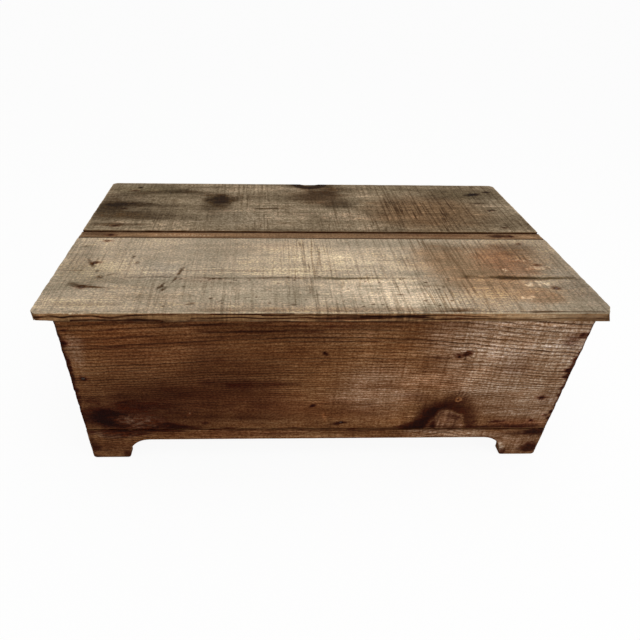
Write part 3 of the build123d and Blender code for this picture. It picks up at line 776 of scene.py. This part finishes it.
# %% The lid's rear board, with its beds for the hinges
barrel_groove_radius = 5.0
leaf_bed_depth = 2.15
bed_margin = 0.4
behind_leaf_front = 0.3
wall = 0.06
joint_place = [value / MM for value in frame["joints"][0]["pos_m"]]
hinge_boxes = [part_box(side + "_hinge_lid_leaf") for side in ("left", "right")]
bed_spans = [(low.x / MM - bed_margin, high.x / MM + bed_margin) for low, high in hinge_boxes]
leaf_front = hinge_boxes[0][0].y / MM
bed_u = [end + edge for span in bed_spans for end in span for edge in (-wall, wall)]
bed_front_lines = [leaf_front - behind_leaf_front + edge for edge in (-wall, wall)]
groove_v = joint_place[1] + barrel_groove_radius * np.cos(np.linspace(0, math.pi, 11))


def hinge_beds(board):
    """Lets the hinge leaves and barrels into the lid's underside."""
    above_axis = board.low[2] - joint_place[2]
    groove = barrel_groove_radius ** 2 - (board.v - joint_place[1]) ** 2
    groove = np.sqrt(np.maximum(groove, above_axis ** 2)) - above_axis
    leaf = leaf_bed_depth * (board.v > leaf_front - behind_leaf_front) * (board.v < joint_place[1])
    for low, high in bed_spans:
        deep = np.where((board.u > low) & (board.u < high), np.maximum(groove, leaf), 0)
        board.depth -= deep * (board.depth / board.thickness)


knot_middle, knot_bite, knot_half_width = 11, 5, 25
rear_lid = Board("lid_rear_board", "x y z", lid_step, extra_u=bed_u,
                 extra_v=(*groove_v, *bed_front_lines, 317, 314, 311, 308, 305))
for end in (-1, 1):
    rear_lid.round_corner(end, 1, rear_corner_radius)


def rear_edge(u):
    """The rear edge with the bite that the knot left, and a little unevenness."""
    bite = knot_bite * np.sqrt(np.clip(1 - ((u - knot_middle) / knot_half_width) ** 2, 0, 1))
    return rear_lid.high[1] - np.maximum(bite, 1.2 * noise(u / 40, 0, 8))


rear_lid.fit("v", high=rear_edge)
rear_lid.grow(150, 52, 5.6, knots=[(knot_middle, 330, 70, 44, 9)])
rear_lid.marks["saw"] += 0.3 + 0.4 * smooth(noise(rear_lid.u / 80, rear_lid.v / 200, 5), 0.3, 0.7)
rear_lid.paint(saw=[(300, 130, 210, 200, 1.0)])
knot_away = np.hypot(rear_lid.u - knot_middle, 1.15 * (rear_lid.v - 326))
knot_ring = smooth(knot_away, 22, 28) * (1 - smooth(knot_away, 46, 56))
rear_lid.cover("dark", knot_ring * (rear_lid.depth < 12))
rear_lid.paint(dark=[
    (62, 312, 70, 20, 0.7), (-36, 308, 56, 24, 0.7, 20), (-390, 254, 150, 30, 0.55, 6),
    (-290, 246, 110, 34, 0.55, -12), (-232, 205, 76, 60, 1.0), (-240, 165, 70, 60, 0.55),
    (-230, 120, 90, 56, 0.35), (-468, 172, 80, 22, 0.9, 4), (-480, 150, 110, 30, 0.5, 4),
    (-420, 165, 150, 24, 0.5), (-455, 110, 150, 56, 0.6), (-510, 150, 70, 110, 0.6),
    (-370, 95, 170, 40, 0.5), (-470, 215, 110, 70, 0.4), (-458, 286, 9, 10, 1.0), (-120, 229, 160, 12, 0.4),
    (-108, 148, 80, 9, 0.9), (-20, 118, 130, 30, 0.35), (40, 90, 80, 26, 0.35), (40, 225, 130, 100, 0.48),
    (130, 285, 120, 26, 0.4), (160, 120, 80, 50, 0.3), (458, 249, 34, 13, 1.0, 12), (504, 268, 14, 9, 0.95),
    (472, 147, 30, 9, 0.95), (455, 190, 24, 8, 0.7), (-480, 50, 110, 16, 0.7), (0, 24, 540, 8, 0.5),
    (40, 270, 90, 50, 0.6), (80, 170, 70, 44, 0.5), (230, 190, 110, 20, 0.25), (330, 90, 130, 22, 0.25),
    (-250, 290, 140, 10, 0.4), (-60, 270, 70, 14, 0.4), (360, 230, 60, 26, 0.35),
], pale=[
    (170, 232, 60, 8, 0.5), (160, 214, 44, 7, 0.5), (-150, 270, 130, 26, 0.3), (420, 120, 70, 16, 0.3),
    (-330, 190, 70, 44, 0.25), (-100, 90, 190, 50, 0.25), (145, 182, 34, 34, 0.45),
    (-330, 300, 160, 24, 0.2), (80, 60, 200, 40, 0.2), (400, 290, 160, 30, 0.2), (270, 130, 190, 100, 0.2),
], warm=[
    (300, 130, 260, 180, 0.9), (30, 230, 120, 90, 0.7),
], grey=[
    (-180, 90, 200, 90, 0.5), (-430, 300, 160, 40, 0.5), (500, 200, 80, 160, 0.4),
], green=[
    (-420, 270, 190, 60, 0.5), (430, 250, 160, 70, 0.4), (200, 280, 240, 40, 0.3),
])
rear_lid.crack(-540, -200, 160, 2.8, 0.8, 0.6, seed=21)
rear_lid.gouge(
    (458, 249, 20, 4, 12, 1.2, 0.9), (474, 147, 14, 3, 0, 0.8, 0.8), (-108, 148, 40, 2.4, 0, 0.5, 0.5),
)
rear_lid.cover("dark", 0.8 * (1 - smooth(rear_lid.v, 17, 21)))
rear_lid.take_nails()
rear_lid.work_face(ridges=0.6, waves=0.8)
hinge_beds(rear_lid)
rear_lid.wear_arrises(2.2, 0.6)
rear_lid.roughen_sides(2.2, 0.8)
rear_lid.build("lid", "lid_wood", rear_lid_pine, edge_pine, inside_pine)

# %% [markdown]
# ## The strip and the battens
# The strip is a plain narrow piece that fills the joint where the boards shrank apart. It is browner because
# it was cut from another plank, and it is darker along both of its sides, as the boards are where they meet it.
# The battens below are nailed from above, through the boards.

# %% Strip and battens
strip = Board("lid_strip", "x y z", (3.0, 3.0), arris=2.0)
strip.grow(60, 30, 4.2)
strip.marks["saw"] += 0.25
strip.paint(dark=[
    (445, 0, 50, 12, 0.9), (-490, 2, 60, 10, 0.5), (250, 4, 200, 5, 0.4), (-100, -6, 300, 4, 0.3),
])
strip.cover("dark", 1 - smooth(strip.gap[1], 1, 5))
strip.paint(pale=[
    (-290, -2, 280, 11, 0.75), (505, -2, 40, 14, 0.6), (40, 2, 160, 5, 0.25),
], red=[
    (-300, 0, 220, 12, 0.25), (300, 0, 160, 12, 0.4),
])
strip.take_nails()
strip.age(1.4, 0.5, (1.5, 0.6), ridges=0.4)
strip.build("lid", "lid_wood", strip_pine, strip_pine, inside_pine)

for side in ("left", "right"):
    batten = Board(side + "_lid_batten", "y x -z", (5, 4), arris=4.0)
    batten.grow(batten.low[1] - 30, -40, 3.6)
    batten.marks["saw"] += 0.6
    batten.paint(dark=[(0, batten.low[1] + 8, 120, 5, 0.4), (-120, batten.high[1] - 9, 80, 5, 0.3)])
    batten.age(3.0, 0.25, (1.6, 0.6), ridges=0.5)
    batten.build("lid", *bare_looks)

# %% [markdown]
# ## The front of the case
# The front is the chest's face: a wide dark stained board over a narrow one that is cut into bracket feet.
# Its grain rises to the middle and falls to the right, and bends over a big knot that the saw cut in half at
# the seam. The seam falls a little to the right, so its height is a function of the place along the chest.

# %% Front board
seam_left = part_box("front_base_board")[1].z / MM
seam_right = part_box("right_end_base_board")[1].z / MM
seam_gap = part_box("left_end_board")[0].z / MM - seam_left
case_low, case_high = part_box("front_board")[0] / MM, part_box("front_board")[1] / MM


def seam_height(x):
    """Top of the base boards at a place along the chest."""
    return seam_left + (x - case_low.x) / (case_high.x - case_low.x) * (seam_right - seam_left)


def chipped_seam(x, seed, depth=2.2):
    """How far the edge at the seam has been chipped away."""
    return depth * smooth(noise(x / 17, 0, seed), 0.45, 1.0) + 0.8 * noise(x / 5, 0, seed + 1)


front = Board("front_board", "x z -y", (5.0, 2.3), extra_u=np.arange(195, 360, 3.0))
front.fit("v", low=lambda u: seam_height(u) + seam_gap + chipped_seam(u, 31))
big_knot = (291, 96)
front.grow(
    -160, -60, 3.0, far=11.0, start=250, reach=310,
    wander=lambda u: 20 * np.exp(-((u - 10) / 400) ** 2) - 20 * smooth(u, 180, 540),
    knots=[(*big_knot, 52, 62, -12), (-428, 118, 58, 34, -7), (279, 304, 16, 9, -2.2)],
)
front.marks["saw"] += 0.15 + 0.45 * smooth(front.u, -150, 420)
# The broad dark bands at the very top, just under the lid, are painted shade from the lid's overhang; the thin
# strokes there are grain
front.paint(dark=[
    (-330, 388, 260, 24, 0.15), (-380, 372, 170, 4.5, 0.65, 4), (-400, 350, 150, 4.5, 0.6, 5),
    (-330, 391, 170, 4.5, 0.65, 3), (-300, 338, 200, 4.5, 0.5, 4), (-420, 326, 120, 4.0, 0.5, 4),
    (-20, 372, 330, 44, 0.35), (-360, 190, 300, 150, 0.45), (-300, 120, 300, 60, 0.4),
    (-430, 124, 125, 56, 0.95, -6), (-385, 106, 150, 34, 0.85, -9), (-300, 97, 120, 14, 0.7, -4),
    (-478, 150, 60, 60, 0.6), (-452, 132, 46, 30, 1.0, -6), (-400, 172, 110, 34, 0.75, -6),
    (-250, 200, 200, 70, 0.3), (-130, 230, 160, 16, 0.35), (-60, 395, 300, 9, 0.6, -1),
    (150, 391, 260, 8, 0.4, -3), (-120, 352, 320, 6, 0.4), (-150, 366, 260, 4.5, 0.6),
    (-100, 380, 320, 4.5, 0.5, -1), (40, 341, 220, 4.5, 0.45, 1), (-130, 250, 120, 150, 0.35),
    (-110, 150, 150, 60, 0.3), (-420, 178, 60, 10, 0.5, 6), (-330, 112, 90, 8, 0.7, -12),
    (470, 98, 90, 14, 0.7), (395, 96, 80, 14, 0.7, 4), (400, 112, 48, 9, 0.8, 4),
    (50, 109, 40, 14, 0.6, 10), (276, 304, 24, 15, 1.0), (240, 300, 70, 7, 0.6, -2),
    (292, 309, 18, 10, 0.9, 30), (5, 312, 12, 7, 1.0, -35), (-10, 166, 12, 8, 0.9, 30),
    (108, 168, 18, 3, 0.6), (-115, 96, 18, 5, 0.7), (-50, 95, 24, 5, 0.7), (-195, 96, 40, 5, 0.6),
    (522, 240, 10, 190, 0.8), (-508, 250, 9, 190, 0.8), (490, 350, 30, 26, 0.5), (-225, 300, 90, 76, 0.42),
    (215, 190, 66, 34, 0.42), (395, 280, 76, 68, 0.38), (503, 330, 30, 46, 0.4), (503, 190, 36, 46, 0.38),
# Painted sheen: the broad pale areas over the right half, and the broad grey area that follows, stand for a
# greyish reflection on the front's right
], pale=[
    (-46, 383, 210, 9, 0.35), (355, 383, 180, 10, 0.5), (-484, 322, 28, 76, 0.1), (330, 320, 260, 100, 0.3),
    (280, 240, 190, 50, 0.45), (150, 200, 190, 100, 0.35), (110, 290, 130, 70, 0.2),
    (180, 120, 140, 40, 0.3), (-278, 142, 9, 6, 1.0, 60), (440, 385, 130, 22, 0.25),
    (-410, 362, 150, 60, 0.42),
], grey=[
    (470, 300, 330, 260, 0.95), (330, 360, 200, 60, 0.4), (-392, 119, 70, 34, 0.7),
    (120, 210, 150, 130, 0.35), (-484, 322, 30, 80, 0.4),
])
mottle = 0.25 + 0.75 * smooth(noise(front.u / 9, front.v / 4, 71), 0.35, 0.7)
mottle *= front.spot(-388, 117, 70, 34)
front.marks["dark"] *= 1 - 0.33 * mottle
front.cover("pale", 0.1 * mottle)
front.paint(red=[
    (-330, 330, 300, 110, 0.3), (-200, 180, 300, 90, 0.4), (60, 390, 340, 20, 0.3),
    (440, 105, 140, 26, 0.6), (30, 150, 240, 60, 0.3),
])
for height, reach in ((312, 90), (268, 60), (214, 70)):
    front.paint(pale=[(330, height, reach, 2.2, 0.35, 6)])

# %% The front board's knots
# The cut knot: dark bark round a paler core, flaring out at its lower left
near_face = front.depth < 8
from_knot = np.hypot((front.u - big_knot[0]) / 74, (front.v - big_knot[1]) / 92) + 0.09 * front.swirl
core = (1 - smooth(from_knot, 0.5, 0.62)) * near_face
bark = smooth(from_knot, 0.52, 0.64) * (1 - smooth(from_knot, 0.7, 1.3)) * near_face
bark *= 0.9 - 0.15 * smooth(front.u, 270, 350)
core_grain = 0.5 * core * smooth(noise(front.u / 6, front.v / 24, 79), 0.45, 0.8)
front.marks["dark"] *= 1 - core
front.cover("dark", np.maximum(bark, core_grain))
front.cover("red", 0.35 * core)
front.marks["grey"] = front.marks["grey"] * (1 - np.maximum(core, bark)) + 0.3 * core
front.paint(dark=[
    (222, 106, 62, 26, 0.9, 12), (246, 134, 40, 40, 0.7, 50), (262, 108, 9, 50, 0.6, 8),
    (290, 100, 6, 40, 0.5), (312, 104, 8, 40, 0.6, -6), (288, 132, 40, 7, 0.4),
])

# A small round knot beside it, with fine rays
small_knot = (303, 182)
from_small = np.hypot(front.u - small_knot[0], front.v - small_knot[1])
rays = 0.5 + 0.5 * np.cos(15 * np.arctan2(front.v - small_knot[1], front.u - small_knot[0]))
rays *= smooth(from_small, 7, 11) * (1 - smooth(from_small, 18, 34)) * near_face
front.cover("dark", 0.65 * rays)
bright_ring = smooth(from_small, 2, 4) * (1 - smooth(from_small, 6, 9)) * near_face
front.cover("pale", 0.7 * bright_ring)
front.marks["dark"] *= 1 - bright_ring
front.paint(dark=[(*small_knot, 3.5, 3, 1.0)])

# %% The front board's dents, cracks and rough edges
front.gouge(
    (279, 304, 9, 5.5, 0, 1.4, 0.6), (288, 308, 9, 3, 38, 0.6, 0.4), (5, 312, 6, 3.6, -35, 1.3, 0.9),
    (-10, 166, 7, 4.2, 30, 1.2, 0.9), (56, 112, 23, 10, 14, 1.5, 1.0), (47, 108, 14, 9, 0, 0.8, 0.9),
    (108, 168, 15, 2.4, 0, 0.7, 0.7), (15, 133, 34, 1.6, -72, 0.4, 0.0),
)
front.paint(pale=[(15, 133, 38, 4.5, 0.6, -72), (-2, 150, 14, 1.4, 0.4, -60)])
front.crack(-220, 300, 229, 2.2, 0.5, 0.45, seed=33)
front.crack(-500, -120, 262, 2.0, 0.4, 0.35, seed=35)
front.crack(60, 520, 96, 2.6, 0.9, 0.7, seed=37)
near_seam = 1 - smooth(front.v - seam_height(front.u) - seam_gap, 0.5, 7)
front.cover("dark", near_seam * (0.35 + 0.55 * noise(front.u / 22, 0, 39)))
ragged_end = 1 - smooth(front.gap[0] - 9 * smooth(noise(front.v / 10, 0, 73), 0.45, 0.8), 0.5, 5)
front.cover("dark", 0.9 * ragged_end)
front.take_nails(halo=0.95)
front.age(1.9, 0.7, (2.6, 0.5), relief=0.5, waves=0.8)
front.build(*case_looks)

# %% [markdown]
# ## The bracket feet
# The base boards are the same kind of board with an opening cut out below, so that a foot is left at each
# end. The opening's top corners are round and the toes are worn, so the lower edge is a height that changes
# along the board: up over the toe, round the bracket's corner to the apron, and back down at the other end.

# %% Bracket outline and the front base board
apron_height = 60
toe_radius = 8
bracket_radius = 50
foot_length, end_foot_length = 86.5, 68


def bracket_edge(place, start, end, corner, outer_toe):
    """Height of a base board's lower edge, for an opening from start to end."""
    inward = np.minimum(place - start, end - place)
    arc = corner - np.clip(inward, 0, corner)
    opening = apron_height - corner + np.sqrt(np.maximum(corner ** 2 - arc ** 2, 0))
    into_toe = np.clip(toe_radius + np.minimum(inward, 0), 0, toe_radius)
    toe = toe_radius - np.sqrt(toe_radius ** 2 - into_toe ** 2)
    outward = np.clip(toe_radius - outer_toe, 0, toe_radius)
    rim = toe_radius - np.sqrt(toe_radius ** 2 - outward ** 2)
    return np.where(inward > 0, opening, np.maximum(toe, rim))


def bracket_lines(start, end, corner):
    """Grid lines that follow the round parts of the opening's outline closely."""
    arc = corner * (1 - np.cos(np.linspace(0, math.pi / 2, 13))) if corner else np.array([0.0])
    toe = toe_radius * (1 - np.sin(np.linspace(0, math.pi / 2, 6)))
    inner = [start + arc, end - arc, start - toe, end + toe]
    return np.concatenate([*inner, [start - 0.05, start + 0.05, end - 0.05, end + 0.05]])


opening = (case_low.x + foot_length, case_high.x - foot_length)
outer_toe = np.array([4.5, 6, 8])
base = Board("front_base_board", "x z -y", (5.0, 2.6), extra_u=[
    *bracket_lines(*opening, bracket_radius), *(case_low.x + outer_toe), *(case_high.x - outer_toe),
])
base.fit("v", low=lambda u: bracket_edge(u, *opening, bracket_radius, base.gap[0]),
         high=lambda u: seam_height(u) - chipped_seam(u, 41, 1.6))
base.grow(180, -70, 4.6, knots=[(-428, 120, 58, 44, 6), (*big_knot, 52, 30, 4)])
base.marks["saw"] += 0.3 + 0.3 * smooth(base.u, -150, 420)
base.paint(dark=[
    (-430, 90, 120, 34, 0.95), (-340, 90, 120, 14, 0.8), (-505, 50, 22, 70, 0.7), (-180, 90, 110, 9, 0.7),
    (60, 88, 160, 8, 0.6), (-30, 76, 340, 8, 0.4), (290, 88, 90, 10, 0.6), (500, 78, 50, 22, 0.9),
    (505, 22, 34, 26, 0.9), (445, 8, 18, 18, 0.7), (-428, 8, 18, 18, 0.6), (-460, 30, 80, 50, 0.4),
    (455, 72, 80, 10, 0.5), (485, 44, 60, 40, 0.3),
], pale=[
    (-440, 82, 84, 12, 0.25), (330, 74, 200, 14, 0.4), (470, 45, 60, 34, 0.35), (20, 64, 340, 8, 0.2),
], grey=[
    (-440, 80, 95, 16, 0.6), (365, 68, 120, 24, 0.35), (480, 50, 110, 80, 0.4), (300, 80, 160, 26, 0.5),
    (436, 25, 12, 30, 1.0),
], red=[
    (-200, 80, 300, 24, 0.4), (-450, 40, 100, 50, 0.3),
])
base.crack(-400, 300, 80, 2.0, 0.5, 0.4, seed=43)
near_seam = 1 - smooth(seam_height(base.u) - base.v, 0.5, 6)
base.cover("dark", near_seam * (0.35 + 0.55 * noise(base.u / 22, 0, 40)))
base.take_nails()
base.age(2.0, 0.7, (1.8, 0.4), relief=0.45, waves=0.5)
base.build(*case_looks)

# %% [markdown]
# ## The ends and the back
# These are never in the photograph, and are made as such chests are: the ends fit between front and back and
# have bracket feet too, and the back has plain square openings and was left less finished. They share one
# recipe, with each board's own seed for its grain, stains and wear.

# %% Ends and back
def aged_panel(board, stains, seed, saw=0.25):
    """Grain, saw marks and a scatter of stains, scuffs and dents for a side that isn't in the photograph."""
    random = np.random.default_rng(seed)
    board.marks["saw"] += saw + 0.4 * smooth(noise(board.u / 150, board.v / 150, seed), 0.3, 0.8)
    width = board.high[1] - board.low[1]
    for _ in range(stains):
        u = random.uniform(board.low[0], board.high[0])
        v = random.uniform(board.low[1], board.high[1])
        reach = random.uniform(30, 130)
        channel = random.choice(["dark", "dark", "pale", "red", "grey", "green"])
        half_width = min(reach, width) * random.uniform(0.15, 0.5)
        board.paint(**{channel: [(u, v, reach, half_width, random.uniform(0.25, 0.6))]})
    for _ in range(stains // 2):
        u = random.uniform(board.low[0] + 20, board.high[0] - 20)
        v = random.uniform(board.low[1] + 10, board.high[1] - 10)
        board.gouge((u, v, random.uniform(5, 22), random.uniform(2.5, 5), random.uniform(-40, 40), 0.9, 0.7))
    board.paint(dark=[
        (board.low[0], board.low[1], 80, 40, 0.6), (board.high[0], board.low[1], 70, 50, 0.5),
    ])
    board.take_nails()
    board.age(1.7, 0.6, (1.4, 0.4), relief=0.45, waves=0.8)


def foot_board(node, axes, step, opening, corner, top):
    """A base board with an opening below, between its two feet, and a top edge of its own."""
    board = Board(node, axes, step, extra_u=bracket_lines(*opening, corner))
    no_outer_toe = np.full_like(board.u, toe_radius)
    board.fit("v", low=lambda u: bracket_edge(u, *opening, corner, no_outer_toe), high=top)
    return board


for side, axes in (("left", "y z -x"), ("right", "y z x")):
    end = Board(side + "_end_board", axes, (5.0, 2.8))
    end.fit("v", low=lambda u: end.low[1] + chipped_seam(u, 51, 1.6))
    knots = [(-120, 300, 26, 18, -6), (150, 170, 30, 22, -7)] if side == "left" else [(60, 240, 34, 22, -8)]
    end.grow(-120, -50, 3.6, far=6.5, start=210, reach=310, knots=knots,
             wander=lambda u: 16 * np.exp(-((u + 40) / 200) ** 2))
    end.paint(dark=[(u, v, length * 0.5, width * 0.55, 0.9) for u, v, length, width, _ in knots],
              red=[(u, v, 1.3 * length, 1.3 * width, 0.7) for u, v, length, width, _ in knots])
    aged_panel(end, 16, 61 if side == "left" else 67)
    end.build(*case_looks)

    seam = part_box(side + "_end_base_board")[1].z / MM
    end_opening = (end.low[0] + end_foot_length, end.high[0] - end_foot_length)
    end_base = foot_board(side + "_end_base_board", axes, (5.0, 3.2), end_opening, bracket_radius,
                          lambda u: seam - chipped_seam(u, 53, 1.4))
    end_base.grow(200, -60, 4.4)
    aged_panel(end_base, 9, 71 if side == "left" else 73)
    end_base.build(*case_looks)

leaf_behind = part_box("back_board")[1].y / MM - leaf_front
bed_height = 20
bed_depth = leaf_behind + behind_leaf_front
back = Board("back_board", "x z y", (6.0, 3.6), extra_u=bed_u, extra_v=(case_high.z - bed_height,),
             extra_depth=(bed_depth - wall, bed_depth + wall))
back.fit("v", low=lambda u: seam_height(u) + seam_gap + chipped_seam(u, 57))
back.grow(
    -190, -60, 3.8, far=7.5, start=280, reach=310,
    wander=lambda u: 12 * np.exp(-((u + 120) / 300) ** 2),
    knots=[(-210, 230, 36, 24, -9), (260, 330, 22, 15, -5)],
)
back.paint(dark=[
    (-210, 230, 22, 15, 0.9), (260, 330, 13, 9, 0.9),
], red=[
    (-210, 230, 50, 32, 0.7), (260, 330, 34, 20, 0.6),
])
aged_panel(back, 26, 79, saw=0.3)
for low, high in bed_spans:
    bed = (back.u > low) & (back.u < high) & (back.depth < bed_depth)
    top_share = np.clip((back.v - (case_high.z - bed_height)) / bed_height, 0, 1)
    back.v = back.v - np.where(bed, leaf_bed_depth * top_share, 0)
back.build(*case_looks)

back_base = foot_board("back_base_board", "x z y", (6.0, 3.4), opening, 0,
                       lambda u: seam_height(u) - chipped_seam(u, 59, 1.4))
back_base.grow(210, -50, 4.8)
aged_panel(back_base, 12, 83, saw=0.3)
back_base.build(*case_looks)

# %% [markdown]
# ## Inside the case
# Four posts, four cleats and three floor boards. They were never stained, so they show bare pine, lighter in
# the middle of the floor and darker at its ends. The outer floor boards are notched round the posts.

# %% Posts, cleats and floor
for row, show in (("front", "y"), ("back", "-y")):
    for side in ("left", "right"):
        post = Board(f"{row}_{side}_post", "z x " + show, (8, 5), arris=5.0)
        post.grow(post.low[1] - 25, 70, 4.0)
        post.marks["saw"] += 0.6
        post.paint(dark=[(0, post.low[1] + 20, 60, 40, 0.6)])
        post.age(3.6, 0.2, (1.5, 0.5), ridges=0.5)
        post.build("case", *bare_looks)

for name, axes in (("front", "x z y"), ("back", "x z -y"), ("left", "y z x"), ("right", "y z -x")):
    cleat = Board(name + "_floor_cleat", axes, (9, 5))
    cleat.grow(150, 60, 4.2)
    cleat.marks["saw"] += 0.6
    cleat.age(1.6, 0.4, ridges=0.4)
    cleat.build("case", *bare_looks)

post_clearance = 0.5
inner_left, inner_front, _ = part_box("front_left_post")[1] / MM + Vector((post_clearance,) * 3)
inner_right, inner_back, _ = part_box("back_right_post")[0] / MM - Vector((post_clearance,) * 3)


def notched(v, inner, outer):
    """Where a floor board ends: at its full length, or further in beside a post."""
    return np.where((v < inner_front) | (v > inner_back), inner, outer)


for number in (1, 2, 3):
    notch_lines = [edge + step for edge in (inner_front, inner_back) for step in (-wall, wall)]
    plank = Board(f"floor_board_{number}", "x y z", (7.0, 4.0), extra_v=notch_lines)
    plank.fit("u", low=lambda v: notched(v, inner_left, plank.low[0]),
              high=lambda v: notched(v, inner_right, plank.high[0]))
    edge = plank.low[1]
    knot_u = -260 + 240 * number
    plank.grow(edge + 60 * number - 40, 60, 5.0, knots=[(knot_u, edge + 90, 28, 18, -6)])
    plank.marks["saw"] += 0.4
    plank.paint(dark=[
        (-470, plank.low[1] + 80, 60, 120, 0.5), (490, plank.low[1] + 90, 60, 120, 0.5),
        (-260 + 240 * number, plank.low[1] + 90, 17, 11, 0.8), (0, plank.low[1] + 4, 560, 5, 0.5),
        (120 - 160 * number, plank.low[1] + 120, 80, 30, 0.4),
    ], pale=[
        (40, plank.low[1] + 90, 320, 70, 0.3),
    ])
    plank.cover("dark", 0.8 * (1 - smooth(plank.gap[1], 0.5, 5)))
    plank.take_nails()
    plank.age(1.4, 0.4, (0.8, 0.3), ridges=0.4, waves=0.6)
    plank.build("case", *bare_looks)

# %% [markdown]
# ## Nails
# Each nail head was hammered by hand on a square shank, so it is a low lumpy pyramid, no two turned alike.
# Modelling every one by hand would be slow, and copies would look stamped. Geometry Nodes put one head and
# shank at each place, turned and sized a little at random from a fixed seed. The tree's sizes are inputs.

# %% A tree that sets fasteners at points
SIZES = ("Head width", "Head height", "Shank length")


def hammered(node, head, *_):
    """Pushes a head's points about sideways, as a hammer leaves them."""
    lumps = node("TexNoise", named={"Scale": 420.0, "Detail": 2.0}).outputs["Color"]
    centred = node("VectorMath", lumps, (0.5, 0.5, 0.5), operation="SUBTRACT")
    uneven = node("VectorMath", centred, (0.0022, 0.0022, 0.0), **TIMES)
    return node("GeometryNodeSetPosition", named={"Geometry": head, "Offset": uneven})


def slotted(node, head, given):
    """Saws a screwdriver's slot across a head."""
    width, height, _ = (given[size] for size in SIZES)
    size = node("CombineXYZ", node("Math", width, 1.2, **TIMES), node("Math", width, 0.14, **TIMES), height)
    lift = node("CombineXYZ", 0.0, 0.0, node("Math", height, 1.05, **TIMES))
    slot = node("GeometryNodeTransform", node("GeometryNodeMeshCube", size), lift)
    return node("GeometryNodeMeshBoolean", head, slot, operation="DIFFERENCE")


def fastener_tree(name, finish, head_cone, shank_cone, worked):
    """Sets a driven fastener at each point, along the direction in the point's facing attribute.

    A cone has a number of sides, a number of rows, and its radii at the top and bottom as shares of the
    head's width. The head's top is at the point. A last function works the head's shape.
    """
    tree = bpy.data.node_groups.new(name, "GeometryNodeTree")
    tree.interface.new_socket("Geometry", in_out="INPUT", socket_type="NodeSocketGeometry")
    for size in SIZES:
        tree.interface.new_socket(size, in_out="INPUT", socket_type="NodeSocketFloat")
    tree.interface.new_socket("Seed", in_out="INPUT", socket_type="NodeSocketInt")
    tree.interface.new_socket("Geometry", in_out="OUTPUT", socket_type="NodeSocketGeometry")
    node = partial(add_node, tree)
    given = node("NodeGroupInput").outputs
    width, height, length = (given[size] for size in SIZES)
    whole = node("GeometryNodeJoinGeometry")
    for cone, depth, drop in (
        (head_cone, height, height), (shank_cone, length, node("Math", length, height, operation="ADD")),
    ):
        sides, rows, *shares = cone
        top, bottom = (node("Math", width, share, **TIMES) for share in shares)
        part = node("GeometryNodeMeshCone", named={
            "Vertices": sides, "Side Segments": rows,
            "Radius Top": top, "Radius Bottom": bottom, "Depth": depth,
        })
        if cone is head_cone:
            part = worked(node, part, given)
        below = node("CombineXYZ", 0.0, 0.0, node("Math", drop, -1.0, **TIMES))
        part = node("GeometryNodeTransform", part, below)
        tree.links.new(part.outputs[0], whole.inputs[0])
    facing = node("GeometryNodeInputNamedAttribute", "facing", data_type="FLOAT_VECTOR")
    aimed = node("FunctionNodeAlignRotationToVector", named={"Vector": facing}, axis="Z")
    seed = {"Seed": given["Seed"]}
    turn = node("FunctionNodeRandomValue", -0.5, 0.5, named=seed, data_type="FLOAT")
    size = node("FunctionNodeRandomValue", 0.86, 1.0, named=seed, data_type="FLOAT")
    spin = node("CombineXYZ", 0.0, 0.0, turn)
    turned = node("FunctionNodeRotateRotation", aimed, spin, rotation_space="LOCAL")
    placed = node("GeometryNodeInstanceOnPoints", named={
        "Points": given["Geometry"], "Instance": whole, "Rotation": turned, "Scale": size,
    })
    real = node("GeometryNodeRealizeInstances", placed)
    node("NodeGroupOutput", node("GeometryNodeSetMaterial", named={"Geometry": real, "Material": finish}))
    return tree


# %% The nails
def set_fasteners(name, tree, places, body, sizes, sunk, replaced):
    """Runs a fastener tree on a set of places and keeps the result as one plain mesh on a body."""
    points = bpy.data.meshes.new(name + "_places")
    points.from_pydata([Vector(place) * MM - Vector(facing) * sunk for place, facing in places], [], [])
    aims = points.attributes.new("facing", "FLOAT_VECTOR", "POINT")
    aims.data.foreach_set("vector", np.array([facing for _, facing in places], float).ravel())
    maker = bpy.data.objects.new(name + "_maker", points)
    bpy.context.scene.collection.objects.link(maker)
    modifier = maker.modifiers.new("fasteners", "NODES")
    modifier.node_group = tree
    keys = {item.name: item.identifier for item in tree.interface.items_tree if item.in_out == "INPUT"}
    for label, value in sizes.items():
        modifier[keys[label]] = value
    mesh = bpy.data.meshes.new_from_object(maker.evaluated_get(bpy.context.evaluated_depsgraph_get()))
    bpy.data.objects.remove(maker)
    piece = bpy.data.objects.new(name, mesh)
    bpy.context.scene.collection.objects.link(piece)
    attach(piece, body)
    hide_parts(*replaced)
    print(f"{name}: {len(places)} fasteners, {len(mesh.polygons)} faces")


bodies = frame["record"]["behaviour"]["bodies"]
body_of_node = {node: body for body, nodes in bodies.items() for node in nodes}
nail_tree = fastener_tree("driven_nails", nail_iron, (9, 2, 0.22, 0.5), (4, 1, 0.38, 0.14), hammered)
nail_sizes = {"Head width": 0.0082, "Head height": 0.0014, "Shank length": 0.022, "Seed": 11}
for body in ("case", "lid"):
    names = [name for name in nail_groups if body_of_node[name] == body]
    places = [place for name in names for place in nail_groups[name]]
    set_fasteners(body + "_nails_wrought", nail_tree, places, body, nail_sizes, 0.0003, names)

# %% [markdown]
# ## Hinges and their screws
# The butt hinges keep the shape that the construction gives them, because it is right and the motion depends
# on it. They only get their worn iron finish. The screws get real slots, which the plain ones lack.

# %% Hinges and screws
for name, node in frame["nodes"].items():
    if "_hinge_" in name:
        node.data.materials.clear()
        node.data.materials.append(hinge_iron)
screw_tree = fastener_tree("driven_screws", screw_iron, (24, 1, 0.5, 0.26), (12, 1, 0.25, 0.08), slotted)
screw_sizes = {"Head width": 0.0072, "Head height": 0.0018, "Shank length": 0.010, "Seed": 5}
for name, places in screw_groups.items():
    body = body_of_node[name]
    set_fasteners(name + "_slotted", screw_tree, places, body, screw_sizes, 0.0001, [name])
